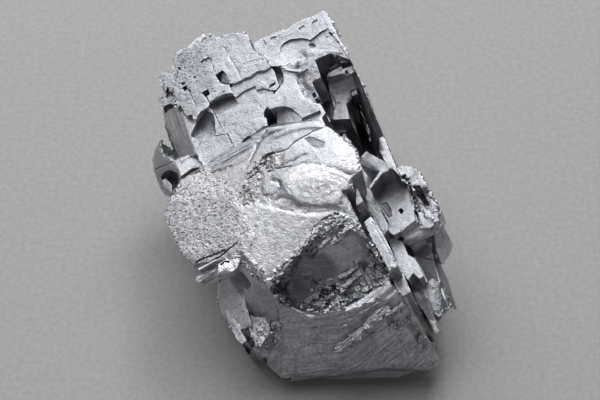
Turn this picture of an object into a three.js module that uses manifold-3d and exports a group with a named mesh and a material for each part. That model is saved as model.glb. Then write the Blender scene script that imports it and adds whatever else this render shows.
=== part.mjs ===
// Skeletal galena: one lump of intergrown, stepped and hollow lead sulphide cubes.
// Millimetres, +Z up. The crystal axes a, b and c are tilted in the resting specimen:
// every flat face is square to one of them. Outlines below are [a, b] pairs in a plane
// of constant c; hull points are [a, b, c].

import * as THREE from 'three';
import { ConvexGeometry } from 'three/addons/geometries/ConvexGeometry.js';
import { mergeVertices } from 'three/addons/utils/BufferGeometryUtils.js';
import Module from 'manifold-3d';

// ---- driving dimensions -------------------------------------------------------------
const A_AXIS = [0.410884, -0.892876, -0.184244];
const B_AXIS = [0.880595, 0.336355, 0.333792];
const C_AXIS = [-0.236064, -0.299395, 0.924466];
const DATUM_HEIGHT = 30;      // height of the crystal datum over the surface it lies on
const BASE_CUT = 0;           // the broken base is flat here
const CENTRE = [-0.086, -12.414];        // shift in X and Y that centres the specimen

const wasm = await Module();
wasm.setup();

// ---- helpers ------------------------------------------------------------------------
function toSolid(geometry) {
  geometry.deleteAttribute('normal');
  geometry.deleteAttribute('uv');
  const g = mergeVertices(geometry, 1e-4);
  const pos = g.attributes.position.array;
  return new wasm.Manifold(new wasm.Mesh({
    numProp: 3,
    vertProperties: new Float32Array(pos),
    triVerts: new Uint32Array(g.index.array),
  }));
}

function prism(low, high, outline) {
  const shape = new THREE.Shape(outline.map(([a, b]) => new THREE.Vector2(a, b)));
  const g = new THREE.ExtrudeGeometry(shape, { depth: high - low, bevelEnabled: false, steps: 1 });
  g.translate(0, 0, low);
  return toSolid(g);
}

function hull(points) {
  return toSolid(new ConvexGeometry(points.map(([a, b, c]) => new THREE.Vector3(a, b, c))));
}

function box(a0, a1, b0, b1, c0, c1) {
  const g = new THREE.BoxGeometry(a1 - a0, b1 - b0, c1 - c0);
  g.translate((a0 + a1) / 2, (b0 + b1) / 2, (c0 + c1) / 2);
  return toSolid(g);
}

// A hopper hollow: nested rectangular steps sunk into a face that is square to a or b.
function hopperSteps(face, [at, u, c, widthU, widthC, steps, depth, inset]) {
  const cuts = [];
  const out = face[1] === '+' ? 1 : -1;
  for (let i = 0; i < steps; i++) {
    const hu = widthU / 2 - i * inset;
    const hc = widthC / 2 - i * inset;
    const low = Math.min(at + out * 2, at - out * depth * (i + 1));
    const high = Math.max(at + out * 2, at - out * depth * (i + 1));
    cuts.push(face[0] === 'a'
      ? box(low, high, u - hu, u + hu, c - hc, c + hc)
      : box(u - hu, u + hu, low, high, c - hc, c + hc));
  }
  return cuts;
}

// ---- features -----------------------------------------------------------------------
// '+' grows, '-' is hollow; then a name; then one of
//   'prism', low c, high c, [a, b] outline
//   'hull', [a, b, c] points
//   'box', [a0, a1, b0, b1, c0, c1]
//   'hopper', face, [face position, centre along the face, centre c, two widths, steps, depth, inset]
const FEATURES = [
  // massive core under everything, closed below by the broken base
  ['+', 'core', 'hull', [[-28, -10, -12], [-30, 2, -12], [-28, 9, -12], [14, 9, -12], [18, 2, -9], [14, -13, -12], [-10, -14, -12], [-16, -11, -46], [-22, 2, -46], [-16, 9, -46], [14, 9, -46], [18, 0, -46], [10, -12, -46]]],
  // back: stepped cubes under the upper plates
  ['+', 'back_main', 'box', [-35, -18, -13, 13, -31, -9]],
  ['+', 'back_step_1', 'box', [-39.5, -28, -8.5, 6.5, -23, -8]],
  ['+', 'back_step_2', 'box', [-37.2, -28, 7.5, 17.5, -19.5, -5]],
  ['+', 'back_step_3', 'box', [-37, -30, -15.2, -9, -17, -7.5]],
  ['+', 'back_step_4', 'box', [-34.2, -26, 12, 19.6, -15, -5.5]],
  ['+', 'back_low_1', 'box', [-32.5, -14, -9.5, 9.5, -46, -28]],
  ['+', 'back_low_2', 'box', [-36.6, -26, -3, 8, -38, -24]],
  ['+', 'back_low_3', 'box', [-30, -20, 6, 14, -36, -24]],
  ['+', 'back_cube_1', 'box', [-41, -36, -6, -1, -14, -9]],
  ['+', 'back_cube_2', 'box', [-39.2, -35, 1.2, 5.2, -30, -22]],
  // right side: thick wall with hopper hollows, stepping in towards the base
  ['+', 'under_mass', 'box', [-16, 4, 6, 14.2, -32, -12.5]],
  ['+', 'right_wall', 'box', [-27, 2, 16.4, 19.6, -29, -24]],
  ['+', 'right_wall_top', 'box', [-31.5, -25.5, 16, 20.8, -14, -4]],
  ['+', 'right_step_1', 'box', [-30, 4, 8, 18.2, -32.5, -25.5]],
  ['+', 'right_step_2', 'box', [-24, 10, 4, 15.4, -37, -30]],
  ['+', 'right_step_3', 'box', [2, 13, 10, 19.4, -27, -20.5]],
  ['+', 'right_step_4', 'box', [6, 16, 8, 16.8, -33, -25]],
  ['+', 'right_step_5', 'box', [-12, 6, 15, 19.2, -30, -24]],
  // left side: stepped faces under the overhanging front mass
  ['+', 'left_step_1', 'box', [-37.5, -18, -15.4, -8, -19, -8]],
  ['+', 'left_step_2', 'box', [-22, 4, -18.5, -10, -22, -9]],
  ['+', 'left_step_3', 'box', [-16, 14, -16.2, -8, -34, -20]],
  ['+', 'left_step_4', 'box', [-8, 1, -21, -14, -15.5, -6]],
  ['+', 'left_step_5', 'box', [3, 14, -20.5, -12, -24, -12]],
  ['+', 'left_step_6', 'box', [-30, -14, -14.6, -8, -29, -16]],
  ['+', 'left_cube_1', 'box', [-26, -20.5, -21.4, -16, -20, -13.5]],
  ['+', 'left_cube_2', 'box', [-14, -10, -20.4, -16, -19.5, -14]],
  // upper left block: flat faces at slightly different heights
  ['+', 'A1', 'prism', -12, -2, [[-41.53, -9.26], [-45.08, -7.49], [-44.34, -5.07], [-43.94, -3.18], [-45.42, -1.61], [-45.26, -0.08], [-43.87, 1.6], [-42.2, 5.43], [-41.84, 6.41], [-40.51, 6.73], [-38.9, 6.22], [-36.95, 6.25], [-34.99, 6.72], [-32.18, 7.25], [-31.12, 7.21], [-31.16, 5.88], [-31.74, 4.56], [-31.37, 3.04], [-31.87, 1.01], [-32.16, -1.12], [-30.16, -1.79], [-30.85, -3.29], [-31.01, -4.79], [-30.85, -6.22], [-29.93, -7.3], [-29.79, -9.17], [-28.47, -10.87], [-30.38, -10.94], [-30.53, -12], [-33.4, -11.88], [-33.55, -12.95], [-36.01, -12.56], [-38.04, -11.91], [-39.71, -10.28]]],
  ['+', 'A1shelf', 'prism', -9, -3, [[-44.32, -9.53], [-45.82, -8.42], [-46.21, -6.87], [-45.91, -4.7], [-46.73, -2.96], [-46.66, -1.14], [-43.19, -2.67], [-41.46, -9.39]]],
  ['+', 'A2', 'prism', -13, -2.45, [[-33.53, -1.09], [-32.8, 1.3], [-32.3, 3.33], [-32.68, 4.86], [-32.09, 6.18], [-31.84, 7.42], [-30.01, 7.71], [-27.57, 7.71], [-26.64, 7.06], [-26.15, 6.16], [-26.82, 5.12], [-28.02, 4.09], [-28.39, 2.68], [-29.33, 2.89], [-29.53, 0.49], [-29.17, -1.47], [-30.47, -2.24]]],
  ['+', 'A3', 'prism', -15, -2.9, [[-31.39, -1.51], [-30.45, 0.78], [-30.26, 3.18], [-28.94, 4.38], [-27.63, 5.58], [-25.31, 5.42], [-24.4, 4.33], [-23.92, 2.99], [-23.23, 2], [-22.2, 1.53], [-19.82, 1.11], [-19.89, -1.09], [-19.85, -2.67], [-19.59, -4.34], [-19.25, -6.28], [-19.12, -8.57], [-18.9, -11.12], [-18.78, -13.4], [-20.55, -13.73], [-22.84, -13.62], [-27.34, -13.22], [-28.97, -11.17], [-30.8, -9.01], [-31.77, -6.32], [-32.1, -3.46]]],
  ['+', 'A4', 'prism', -14, -3.4, [[-35.04, -13.44], [-34.77, -11.74], [-32.46, -10.25], [-29.57, -9.93], [-27.24, -12.98], [-27.67, -13.24], [-30.53, -13.12], [-33.42, -13.01]]],
  ['+', 'A_left_slope', 'hull', [[-34.38, -12.82, -3.4], [-30.6, -13.13, -3.5], [-27.74, -13.25, -3.5], [-22.35, -13.83, -3.6], [-37.89, -15.85, -7.5], [-35.12, -16.91, -8.5], [-32.12, -17.61, -9.5], [-25.27, -17.19, -7.5], [-23.19, -12.69, -4], [-29.43, -9.95, -4], [-41.36, -15.72, -13], [-38.42, -16.62, -14], [-34.83, -17.46, -14], [-29.19, -17.13, -14], [-36, -10.22, -14]]],
  ['+', 'cube_left_1', 'prism', -10, -5, [[-44.31, -13.41], [-44.61, -12.59], [-44.11, -10.96], [-42.35, -10.8], [-41.95, -8.91], [-38.05, -9.69], [-39.93, -13.46], [-41.8, -13.8]]],
  ['+', 'cube_left_2', 'prism', -11, -6, [[-40.58, -15.58], [-41.41, -14.3], [-40.59, -13.04], [-38.34, -11.26], [-36.63, -12], [-37.35, -13.98], [-37.3, -15.6], [-38.72, -15.68]]],
  ['+', 'slab_left_back', 'prism', -15, -7, [[-46.25, -10.01], [-45.91, -6.9], [-42.1, -5.33], [-33.52, -9.1], [-35.84, -13.58], [-38.48, -14.28]]],
  ['-', 'arch_recess', 'hull', [[-29.71, -7.47, -1.5], [-30.52, -6.21, -1.5], [-30.68, -4.79, -1.5], [-30.52, -3.28, -1.5], [-29.83, -1.79, -1.5], [-28.13, -1.65, -1.5], [-26.64, -1.42, -1.5], [-26.52, -3.72, -1.5], [-27.15, -6.8, -1.5], [-27.99, -6.65, -2.95], [-27.46, -3.74, -2.95], [-27.49, -1.7, -2.95], [-30.72, -6.8, -3.7], [-31.23, -6.14, -4.1], [-31.29, -4.81, -4.3], [-31.07, -3.32, -4.3], [-30.3, -1.97, -4]]],
  ['-', 'scooped_hollow', 'hull', [[-26.32, -13, -1.5], [-28.24, -10.59, -1.5], [-29.34, -8.98, -1.5], [-29.6, -7.29, -1.5], [-27.79, -6.97, -1.5], [-25.81, -7.62, -1.5], [-23.32, -8.28, -1.5], [-22.31, -9.17, -1.5], [-23.56, -11.97, -1.5], [-24.95, -12.93, -1.5], [-28.45, -6.91, -3], [-24.29, -8.31, -3], [-23.38, -9.39, -3], [-24.41, -11.84, -3], [-26.98, -12.92, -3.9], [-29.22, -10.61, -4.7], [-30.31, -8.39, -4.2], [-26.32, -10.62, -3.9]]],
  ['-', 'pit_P1', 'prism', -7, 0, [[-33.76, -6.97], [-33.72, -5.63], [-32.43, -5.74], [-32.37, -6.9]]],
  ['-', 'pit_P2', 'prism', -5.5, 0, [[-36.99, -9.87], [-37.07, -9.15], [-35.99, -9.16], [-36.02, -10.06]]],
  ['-', 'hole_P3', 'hull', [[-35.69, -2.99, -1.4], [-35.95, -1.28, -1.4], [-32.39, -0.84, -1.4], [-31.99, -1.69, -1.4], [-33.1, -2.78, -1.4], [-36.38, -3.25, -4], [-36.6, -1.45, -4.4], [-32.93, -1.38, -2.9], [-32.75, -1.97, -2.7], [-34, -2.83, -2.9]]],
  // left end: lobe with a dimple, small ledge
  ['+', 'lobe', 'hull', [[-32.38, -19.01, -8.5], [-31.49, -20.93, -9], [-29.92, -22.22, -9.5], [-27.7, -22.94, -9.5], [-24.74, -23.3, -9.5], [-21.88, -22.94, -9.5], [-20.5, -22.4, -9.5], [-20.54, -20.41, -9], [-21.94, -18.57, -8], [-23.96, -18.34, -7.2], [-26.17, -18.06, -7.2], [-29.03, -19.69, -7.6], [-34.88, -18.64, -12], [-34.53, -20.98, -13], [-32.3, -22.62, -13], [-29.52, -23.34, -13], [-26.21, -23.61, -13], [-22.69, -23.06, -13], [-21.26, -18.98, -14], [-26.41, -14.43, -14], [-31.87, -16.66, -14], [-37.86, -20.05, -18], [-34.41, -22.34, -19], [-27.5, -23.1, -18], [-24.95, -19.29, -20], [-30.19, -14.66, -20]]],
  ['+', 'lobe_neck', 'hull', [[-29.78, -18.23, -9], [-24.79, -15.52, -8], [-20.56, -15.11, -8], [-20.93, -20.11, -10], [-34.32, -18.58, -16], [-32.65, -14.96, -17], [-25.12, -15.94, -17], [-24.23, -20.95, -17]]],
  ['-', 'lobe_dimple', 'hull', [[-25.05, -22.5, -8.2], [-25.41, -21.15, -8], [-24.94, -19.76, -8], [-23.49, -18.9, -7.6], [-21.38, -19.07, -7.4], [-20.2, -20.17, -7.8], [-20.61, -21.7, -8.2], [-22.53, -22.68, -8.2], [-25.57, -21.98, -11.4], [-26.14, -20.85, -12.2], [-24.71, -20.03, -12], [-22.74, -20.79, -11], [-22.74, -22.02, -10.6]]],
  ['+', 'ledge_left', 'prism', -12, -5.2, [[-24.9, -18.41], [-24.1, -13.8], [-21.34, -12.76], [-18.74, -12.79], [-20.35, -14.1], [-21.14, -15.77], [-20.79, -17.72], [-20.61, -18.69], [-22.69, -18.24]]],
  // front mass: two gently tilted upper faces meeting in a crease
  ['+', 'D1', 'hull', [[-17.42, 1.17, 0.4], [-15.31, 5.63, 0.9], [-13.32, 9.97, 0.9], [-10.85, 11.6, 0.7], [-6.7, 13.06, 0.5], [-4.14, 14.16, 0.2], [-1.5, 13.7, 0], [1.38, 12.05, -0.2], [3.92, 10.58, -0.3], [7.35, 9.09, -0.5], [10.91, 7.95, -0.8], [-3.01, 1.81, 1.5], [-0.78, 6.16, 1.5], [-1.32, -1.23, 1.2], [-14.83, -1.42, 0.1], [-13.24, -4.84, -0.1], [-7.63, -10.63, 0], [3.24, -14.37, -0.5], [7.85, -13.75, -0.8], [14.62, -12.69, -2], [21.68, -8.8, -3], [23.25, -1.08, -3], [21.02, 7.08, -3.5], [-26.76, 3.26, -13], [-20.63, 11.16, -13], [-14.3, 11.99, -14], [-5.42, 12.68, -14], [-1.58, 12.17, -14], [2.81, 8.67, -16], [14.61, 7.36, -16], [17.6, -1.55, -16], [8.99, -13.46, -14], [-3.41, -14.99, -12], [-15.96, -10.25, -12], [-22.66, -4.04, -12]]],
  ['+', 'D2', 'hull', [[-17.06, -1.99, -0.8], [-13.24, -4.84, -0.1], [-7.63, -10.63, 0], [2.56, -11.11, 0], [4.69, -14.22, -0.7], [2.63, -17.54, -1.2], [1.81, -20.55, -1.6], [-0.02, -23.83, -2.2], [-3.79, -25.05, -2.3], [-8.65, -24.73, -2.4], [-13.03, -24.68, -2.6], [-15.03, -22.83, -2.3], [-16.46, -20.38, -2.1], [-17.88, -18.62, -2], [-17.79, -16.6, -1.8], [-16.88, -13.8, -1.5], [-16.63, -9.16, -1.2], [-23.19, -0.38, -8], [-21.38, -14.44, -7], [-19.2, -20.63, -6.5], [-14.78, -24.33, -6.5], [-9.69, -24.8, -6], [-5.24, -24.58, -5.5], [-1.71, -23.33, -5], [1.71, -14.21, -9], [-1.06, -11.16, -12], [-16.46, -6.85, -12]]],
  ['+', 'D_shoulder', 'hull', [[-19.07, -14.19, -3], [-19.17, -11.03, -3], [-19.86, -4.25, -3], [-19.58, 1.28, -2.7], [-16.72, 5.32, -1], [-12.75, 3.81, 0.2], [-14.91, -2.91, -0.6], [-14.08, -9.2, -1.2], [-15.67, -14.26, -2], [-22.43, -14.6, -9], [-23.35, 1.22, -9], [-21.72, 5.46, -9], [-17.87, -9.85, -9]]],
  ['-', 'D_right_side', 'prism', -13, 4, [[0.5, 12.43], [1.12, 10.61], [2.96, 9.94], [3.1, 8.15], [5.53, 8.06], [8.91, 7.94], [10.83, 7.86], [13.99, 7.83], [18.44, 8], [23.21, 7.98], [26.93, 8.67], [31.44, 12.26], [10.08, 16.57], [-0.48, 15.71]]],
  // front block with the striated face
  ['+', 'D_front', 'hull', [[14.3, -12.85, -6.2], [20.01, -6.78, -6.4], [21.95, -2.36, -6.4], [22.85, 1.57, -6], [21.74, 7.48, -5.8], [11.46, -10.83, -7.5], [13.52, 1.41, -7.5], [15.33, 6.79, -7.5], [17.15, -19.97, -18.36], [22.42, -18.23, -15.99], [26.6, -9.04, -17.4], [29.86, -0.85, -19.27], [32.83, 6.2, -22.09], [31.35, 9.19, -23.9], [29.67, 9.26, -24.47], [23.89, -18.01, -18.27], [27.77, -8.64, -20.55], [31.89, 0.77, -23.13], [32.8, 5.26, -24.57], [14.75, -15.39, -25.04], [20.28, 4.72, -31.2], [6.22, -12.97, -20], [24.78, 8.3, -6.9], [23.48, 8.51, -6.9], [10.51, 7.54, -24]]],
  ['-', 'fracture_scoop', 'hull', [[12.44, 7.88, 2], [7.04, 4.3, 2], [10.29, -4.69, 2], [12.51, -12.08, 2], [14.34, -14.19, 2], [23.96, -11.48, 2], [26.66, -7.74, 2], [28.85, -2.55, 2], [27.02, 8.32, 2], [14.76, 6.82, -8.6], [18.63, 7.61, -8.2], [19.32, 2.4, -10.6], [18.1, -1.75, -11.4], [16.04, -6.14, -11.2], [13.74, -9.25, -10.6], [11.7, -11.4, -9.2], [10.5, -11.01, -8.2]]],
  // ledges at the left of the base
  ['+', 'rib_1', 'hull', [[0.23, -18.92, -6.4], [2.2, -16.68, -6.2], [7.57, -17.78, -6.9], [14.86, -19.39, -7.8], [13.35, -21.41, -8.9], [10.86, -23.23, -9.3], [8.18, -23.48, -9], [6.07, -22.85, -8.6], [2.25, -21.07, -7.6], [-10.9, -19.93, -26], [-7.02, -16.14, -26], [1.21, -16.2, -26], [6.78, -18.75, -26], [4.34, -22.41, -26], [1.95, -24.29, -26], [-1.02, -24.56, -26], [-8.05, -22.12, -26]]],
  ['+', 'rib_2', 'prism', -28, -8.6, [[6.59, -21.99], [10.32, -15.82], [17.03, -16.72], [19.03, -19.36], [18.43, -20.38], [14.23, -20.2], [13.89, -21.56], [16.58, -21.48], [16.83, -22.67], [14.98, -23.35], [11.61, -23.36]]],
  ['+', 'rib_3', 'prism', -34, -13.5, [[9.48, -21.24], [9.83, -16.56], [18.36, -16.54], [20.75, -19.38], [19.39, -20.06], [17.26, -20.82], [17.04, -21.6], [15.3, -21.68]]],
  ['+', 'left_shoulder', 'hull', [[5.07, -16.21, -3.2], [9.25, -13.16, -2.5], [13.65, -12.5, -6], [15.85, -14.35, -9], [17.06, -19.87, -19.71], [16.05, -19.99, -15.54], [13.71, -19.51, -10], [8.56, -18.73, -8.6], [5.06, -17.77, -7], [1.85, -13.64, -16], [6.22, -12.97, -20], [14.56, -18.23, -21.89]]],
  // two splinters at the left edge of the front mass
  ['+', 'splinter_1', 'hull', [[0.02, -24.04, -2.8], [0.21, -21.89, -2.6], [0.88, -20.16, -2.4], [1.8, -16.98, -2], [2.65, -16.68, -2.6], [2.32, -19.69, -3], [1.9, -22.45, -3.4], [1.46, -23.99, -3.4], [-0.78, -24.14, -4.2], [1.53, -22.6, -4.4], [0.87, -17.47, -5]]],
  ['+', 'splinter_2', 'hull', [[2.18, -24.87, -3.8], [2.09, -22.37, -3.6], [2.21, -19.7, -3.2], [2.32, -17.45, -2.8], [2.7, -14.67, -1.6], [4.09, -14.95, -1.9], [5.54, -17.22, -3], [4.98, -18.61, -3.4], [4.4, -20.42, -3.8], [4.65, -23.69, -4.2], [3.94, -24.46, -4.2], [1.58, -24.89, -5.4], [3.45, -23.72, -6], [2.92, -17.24, -7], [0.39, -14.93, -6]]],
  ['-', 'lobe_pocket', 'hull', [[-29.37, -18.13, -2], [-28.37, -16.99, -2], [-23.21, -16.75, -2], [-22.61, -17.46, -2], [-25.4, -19.39, -2], [-35.98, -18.83, -14], [-36.05, -17.97, -15], [-31.26, -17.85, -14], [-31.97, -19.2, -12]]],
  // upper right plate
  ['+', 'B1', 'prism', -7, -2, [[-38.37, 8.72], [-38.16, 11.58], [-37.74, 14.34], [-37.85, 17.13], [-37.58, 18.82], [-37.28, 20.95], [-37.23, 22.29], [-36.14, 22.68], [-33.78, 22.47], [-31.11, 22.33], [-28.45, 22.19], [-27.08, 22.2], [-24.56, 21.9], [-25.35, 20.26], [-26.77, 18.92], [-26.72, 17.32], [-26.67, 15.73], [-26.91, 12.02], [-28.9, 9.8], [-30.41, 9.14], [-30.75, 8.62], [-31.54, 7.4], [-34.32, 7.32], [-35.48, 8.08], [-36.75, 8.66]]],
  ['-', 'B_arc_cut_1', 'hull', [[-34.49, 11.17, -2.3], [-35.19, 12, -2.5], [-35.27, 13.5, -2.55], [-34.4, 15.37, -2.55], [-33.28, 16.66, -2.55], [-32.68, 16.94, -2.55], [-26.99, 15.04, -2.6], [-28.64, 10.5, -2.3], [-31.91, 9.38, -2.02], [-32.94, 11.09, 0], [-33.5, 11.91, 0], [-33.54, 13.4, 0], [-32.69, 15.25, 0], [-31.57, 16.53, 0], [-30.98, 16.81, 0], [-25.29, 14.92, 0], [-27.13, 10.42, 0], [-30.56, 9.32, 0]]],
  ['-', 'B_arc_cut_2', 'hull', [[-32.8, 16.77, -2.55], [-33.07, 18.61, -2.5], [-33.28, 19.87, -2.4], [-33.06, 21.15, -2.3], [-29.51, 21.64, -2.6], [-23.71, 21.96, -2.8], [-21.04, 20.68, -2.8], [-26.82, 13.62, -2.6], [-31.09, 16.64, 0], [-31.4, 18.47, 0], [-31.67, 19.73, 0], [-31.52, 21, 0], [-27.79, 21.47, 0], [-21.91, 21.78, 0], [-19.26, 20.51, 0], [-25.13, 13.51, 0]]],
  ['+', 'B2', 'hull', [[-29.58, 12.31, -2.2], [-29.58, 12.31, -12], [-30.32, 14.21, -2.3], [-30.32, 14.21, -12], [-30.66, 15.47, -2.4], [-30.66, 15.47, -12], [-29.45, 18.26, -2.5], [-29.45, 18.26, -12], [-27.63, 20.75, -2.6], [-27.63, 20.75, -12], [-25.73, 21.36, -2.8], [-25.73, 21.36, -12], [-24.12, 21.64, -3.1], [-24.12, 21.64, -12], [-27.56, 17.3, -3.6], [-24.13, 15.38, -3.9], [-24.21, 13.17, -3.9], [-20.97, 12.77, -3.9], [-18.8, 12.41, -3.9], [-18.8, 12.41, -12], [-19.84, 10.7, -3.8], [-19.84, 10.7, -12], [-24.04, 8.12, -3.2], [-24.04, 8.12, -12], [-28, 10.03, -2.9], [-28, 10.03, -12]]],
  ['+', 'AB_slope', 'hull', [[-30.68, 9.24, -2.1], [-28.71, 12.81, -2.2], [-26.03, 11.29, -3.2], [-27.51, 8.68, -2.9], [-29.16, 8.66, -2.9], [-37.25, 9.52, -12], [-35.15, 13.19, -12], [-31.74, 11.59, -12], [-33.46, 8.93, -12], [-35.2, 8.81, -12]]],
  ['+', 'Lump', 'prism', -11, -2.6, [[-28.79, 8.91], [-28.63, 10.41], [-28.04, 12.16], [-26.7, 11.31], [-25.36, 10.46], [-22.83, 10.63], [-19.9, 11.04], [-18.72, 12.05], [-17.28, 11.81], [-17.63, 7.97], [-19.19, 7.59], [-20.87, 7.03], [-22.06, 6.02], [-22.73, 4.54], [-22.99, 3.32], [-24.05, 2.91], [-25.04, 4.7], [-25.64, 5.43], [-26.14, 6.33], [-26.52, 7.41], [-27.43, 8.5]]],
  ['+', 'Strip', 'prism', -12, -3.5, [[-20.18, 7.36], [-20.51, 9.75], [-19.16, 12.69], [-16.78, 12.68], [-16, 11.42], [-14.26, 11.26], [-16.37, 6.7], [-18.52, 7.48]]],
  ['+', 'fill_AB', 'prism', -14, -8, [[-42.37, 6.05], [-42.49, 8.88], [-33.37, 13.43], [-22.88, 8.53], [-26.72, 1.69], [-37.74, 6.71]]],
  ['+', 'H1_scoop', 'hull', [[-18.39, 7.56, -3.8], [-21.19, 7.13, -3.6], [-22.87, 5.95, -4.2], [-25.68, 4.16, -8], [-22.97, 3, -8.5], [-17.92, 7.02, -5], [-23.52, 7.76, -12], [-27.84, 6.1, -12], [-28.34, 4.04, -12], [-25.29, 2.86, -12], [-21.23, 6.69, -12]]],
  ['-', 'pits_1', 'prism', -6, 0, [[-22.09, 12], [-22.06, 12.66], [-20.92, 12.57], [-21.04, 11.96]]],
  ['-', 'pits_2', 'prism', -6, 0, [[-20.73, 12.03], [-20.6, 12.64], [-19.57, 12.6], [-19.69, 11.99]]],
  // recess on the right: ledges and bars inside a deep hollow
  ['-', 'C_slot', 'prism', -24, 2, [[-24.21, 13.17], [-24.18, 15.29], [-21.2, 15.34], [-17.17, 14.54], [-15.86, 13.7], [-16, 12.65]]],
  ['-', 'C_pocket', 'prism', -24, 2, [[-27.91, 15.82], [-27.96, 17.42], [-27.8, 18.92], [-26.27, 20.45], [-24.64, 21.69], [-22.54, 21.58], [-20.71, 20.25], [-20.78, 15.14], [-24.24, 15.21]]],
  ['+', 'slot_floor', 'prism', -27, -14, [[-27.8, 12.9], [-26.6, 16.48], [-19.81, 15.99], [-16.92, 14.6], [-18.28, 11.61], [-22.95, 11.08]]],
  ['+', 'C_floor', 'prism', -30, -9.6, [[-28.69, 17.21], [-29.21, 20.66], [-27.66, 22.2], [-24.31, 20.59], [-22.09, 20.66], [-22.04, 19.05], [-20.57, 18.8], [-20.07, 18.33], [-20.21, 17.26], [-16.48, 16.38], [-18.35, 13.44], [-20.51, 14.69], [-24.8, 15.6]]],
  ['+', 'C1', 'prism', -11, -5, [[-24.91, 16.14], [-25.62, 17.15], [-25.52, 19.82], [-24.67, 19.86], [-23.42, 19.71], [-23.97, 19.07], [-24.34, 17.45]]],
  ['+', 'C2', 'prism', -11, -4.6, [[-24.53, 19.67], [-24.24, 21.78], [-22.67, 21.7], [-22.5, 20.72], [-23.38, 19.34]]],
  ['+', 'C_bar', 'prism', -11, -6.5, [[-27.53, 17.45], [-27.66, 19.78], [-26.92, 19.66], [-26.89, 17.6]]],
  ['+', 'C_bar_2', 'prism', -11, -4.2, [[-26.36, 20.19], [-25.47, 21.57], [-24.94, 21.54], [-25.63, 20.07]]],
  ['+', 'C_cubelet', 'prism', -11, -8.2, [[-21.05, 19.14], [-21.12, 20.3], [-19.86, 20.15], [-20.12, 18.92]]],
  ['+', 'outer_wall_a', 'hull', [[-25.55, 22.06, -2.8], [-25.55, 22.06, -27], [-22.59, 21.82, -3], [-22.59, 21.82, -27], [-14.98, 21.17, -3.4], [-14.98, 21.17, -27], [-24.29, 21.71, -5], [-17.43, 20.61, -7], [-28, 18, -27], [-17, 17, -27]]],
  ['+', 'outer_wall_b', 'hull', [[-15.1, 21.19, -3.4], [-15.1, 21.19, -27], [-7.93, 20.47, -4], [-7.93, 20.47, -27], [-5.82, 20.1, -4], [-5.82, 20.1, -27], [-17.69, 20.63, -7], [-11.37, 19.45, -8], [-7.53, 19.14, -7], [-17, 17, -27], [-5, 16, -27]]],
  ['+', 'outer_wall_2', 'prism', -26, -4.2, [[-6.27, 19.18], [-6.14, 20.21], [-3.54, 19.82], [1.21, 19.23], [3.37, 19.04], [0.99, 18.47], [0.76, 17.71], [-1.11, 17.97], [-3.9, 18.02]]],
  ['+', 'lip', 'hull', [[-6.39, 14.56, -7.2], [-6.39, 14.56, -10], [-6.73, 15.88, -7], [-6.73, 15.88, -10], [-4.04, 16.87, -6.6], [-4.04, 16.87, -12], [-1.21, 18.36, -5.6], [-1.21, 18.36, -20], [0.11, 18.63, -5.4], [0.11, 18.63, -24], [0.13, 16.43, -5.4], [0.13, 16.43, -24], [-1.58, 15.28, -6.4], [-1.58, 15.28, -11], [-3.59, 14.26, -7.4], [-3.59, 14.26, -11], [-5.25, 13.64, -7.8], [-5.25, 13.64, -11]]],
  ['+', 'wall_F', 'prism', -26, -5.4, [[2.09, 12.86], [0.33, 16.34], [0.52, 18.87], [-0.18, 18.99], [-0.37, 16.24], [1.54, 12.79]]],
  // lower right: lattice of bars and ledges that step down to the base
  ['+', 'F_face', 'prism', -24, -10.5, [[1.6, 12.78], [0.57, 14.82], [-0.46, 16.88], [-0.37, 19.49], [2.35, 20.13], [5.01, 19.48], [7.27, 19.45], [8.12, 18.37], [10.07, 18.27], [10.21, 16.45], [10.63, 14.71], [10.66, 12.73], [8.88, 11.86], [4.93, 11.59]]],
  ['-', 'F_hole', 'prism', -15, 0, [[6.26, 15.78], [6.19, 16.47], [7.08, 16.69], [7.35, 15.9]]],
  ['-', 'F_niche', 'hull', [[3.85, 13.35, -9], [4.29, 14.89, -9], [6.07, 14.89, -9], [8.2, 14.28, -9], [8.16, 12.99, -9], [6.1, 12.91, -9], [1.98, 14.12, -13.5], [4.18, 14.37, -13.5]]],
  ['+', 'F_ledge', 'prism', -26, -12.6, [[7.42, 13.86], [8.08, 15.74], [7.58, 18.62], [11, 18.02], [11.66, 14.62], [10.36, 13.73]]],
  ['+', 'F_back', 'prism', -20, -9, [[-1.32, 19.41], [-1.08, 20.61], [-0.32, 22.23], [1.61, 23.25], [3.2, 23.33], [5.66, 23.2], [5.31, 21.4], [4.96, 20.04], [3.48, 20.12], [1.46, 18.92]]],
  ['+', 'F_right', 'prism', -18, -11.2, [[2.07, 20.34], [3.54, 22.7], [4.95, 23.32], [9.48, 23.24], [11.97, 21.98], [12.66, 19.45], [11.63, 17.78], [8.25, 18.81], [5.51, 19.3]]],
  ['-', 'F_right_niche', 'prism', -15, 0, [[3.86, 20.34], [4.5, 21.78], [8.25, 21.66], [7.73, 20.83]]],
  ['+', 'E_fill', 'prism', -28, -11, [[-1.81, 8.99], [-0.71, 12.01], [4.47, 11.71], [6.53, 8.5], [5.12, 7.86]]],
  ['+', 'E2', 'prism', -26, -9.4, [[-1.12, 11.48], [-0.36, 13.11], [3.41, 13.03], [7.84, 12.84], [9.48, 12.25], [10.22, 11.02], [7.28, 10.71], [4.03, 10.75], [1.46, 11.12]]],
  ['+', 'E1', 'prism', -30, -1.7, [[9.86, 8.67], [9.44, 10.37], [11.27, 10.55], [14.34, 10.76], [20.19, 10.44], [21.5, 10.22], [21.34, 8.4], [17.48, 8.38], [14.07, 8.34]]],
  ['+', 'E_wedge', 'prism', -14, -2.6, [[2.02, 10.51], [2.42, 10.75], [5.25, 10.47], [5.49, 8.84]]],
  ['+', 'E_cube', 'prism', -14, -6, [[4.08, 8.91], [4.11, 9.77], [5.39, 9.81], [5.55, 8.86]]],
  ['+', 'E4', 'prism', -42, -6.6, [[17.87, 8.56], [18.23, 10.74], [20.96, 10.46], [24.9, 10.22], [25.03, 8.45], [22.86, 8.03]]],
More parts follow.
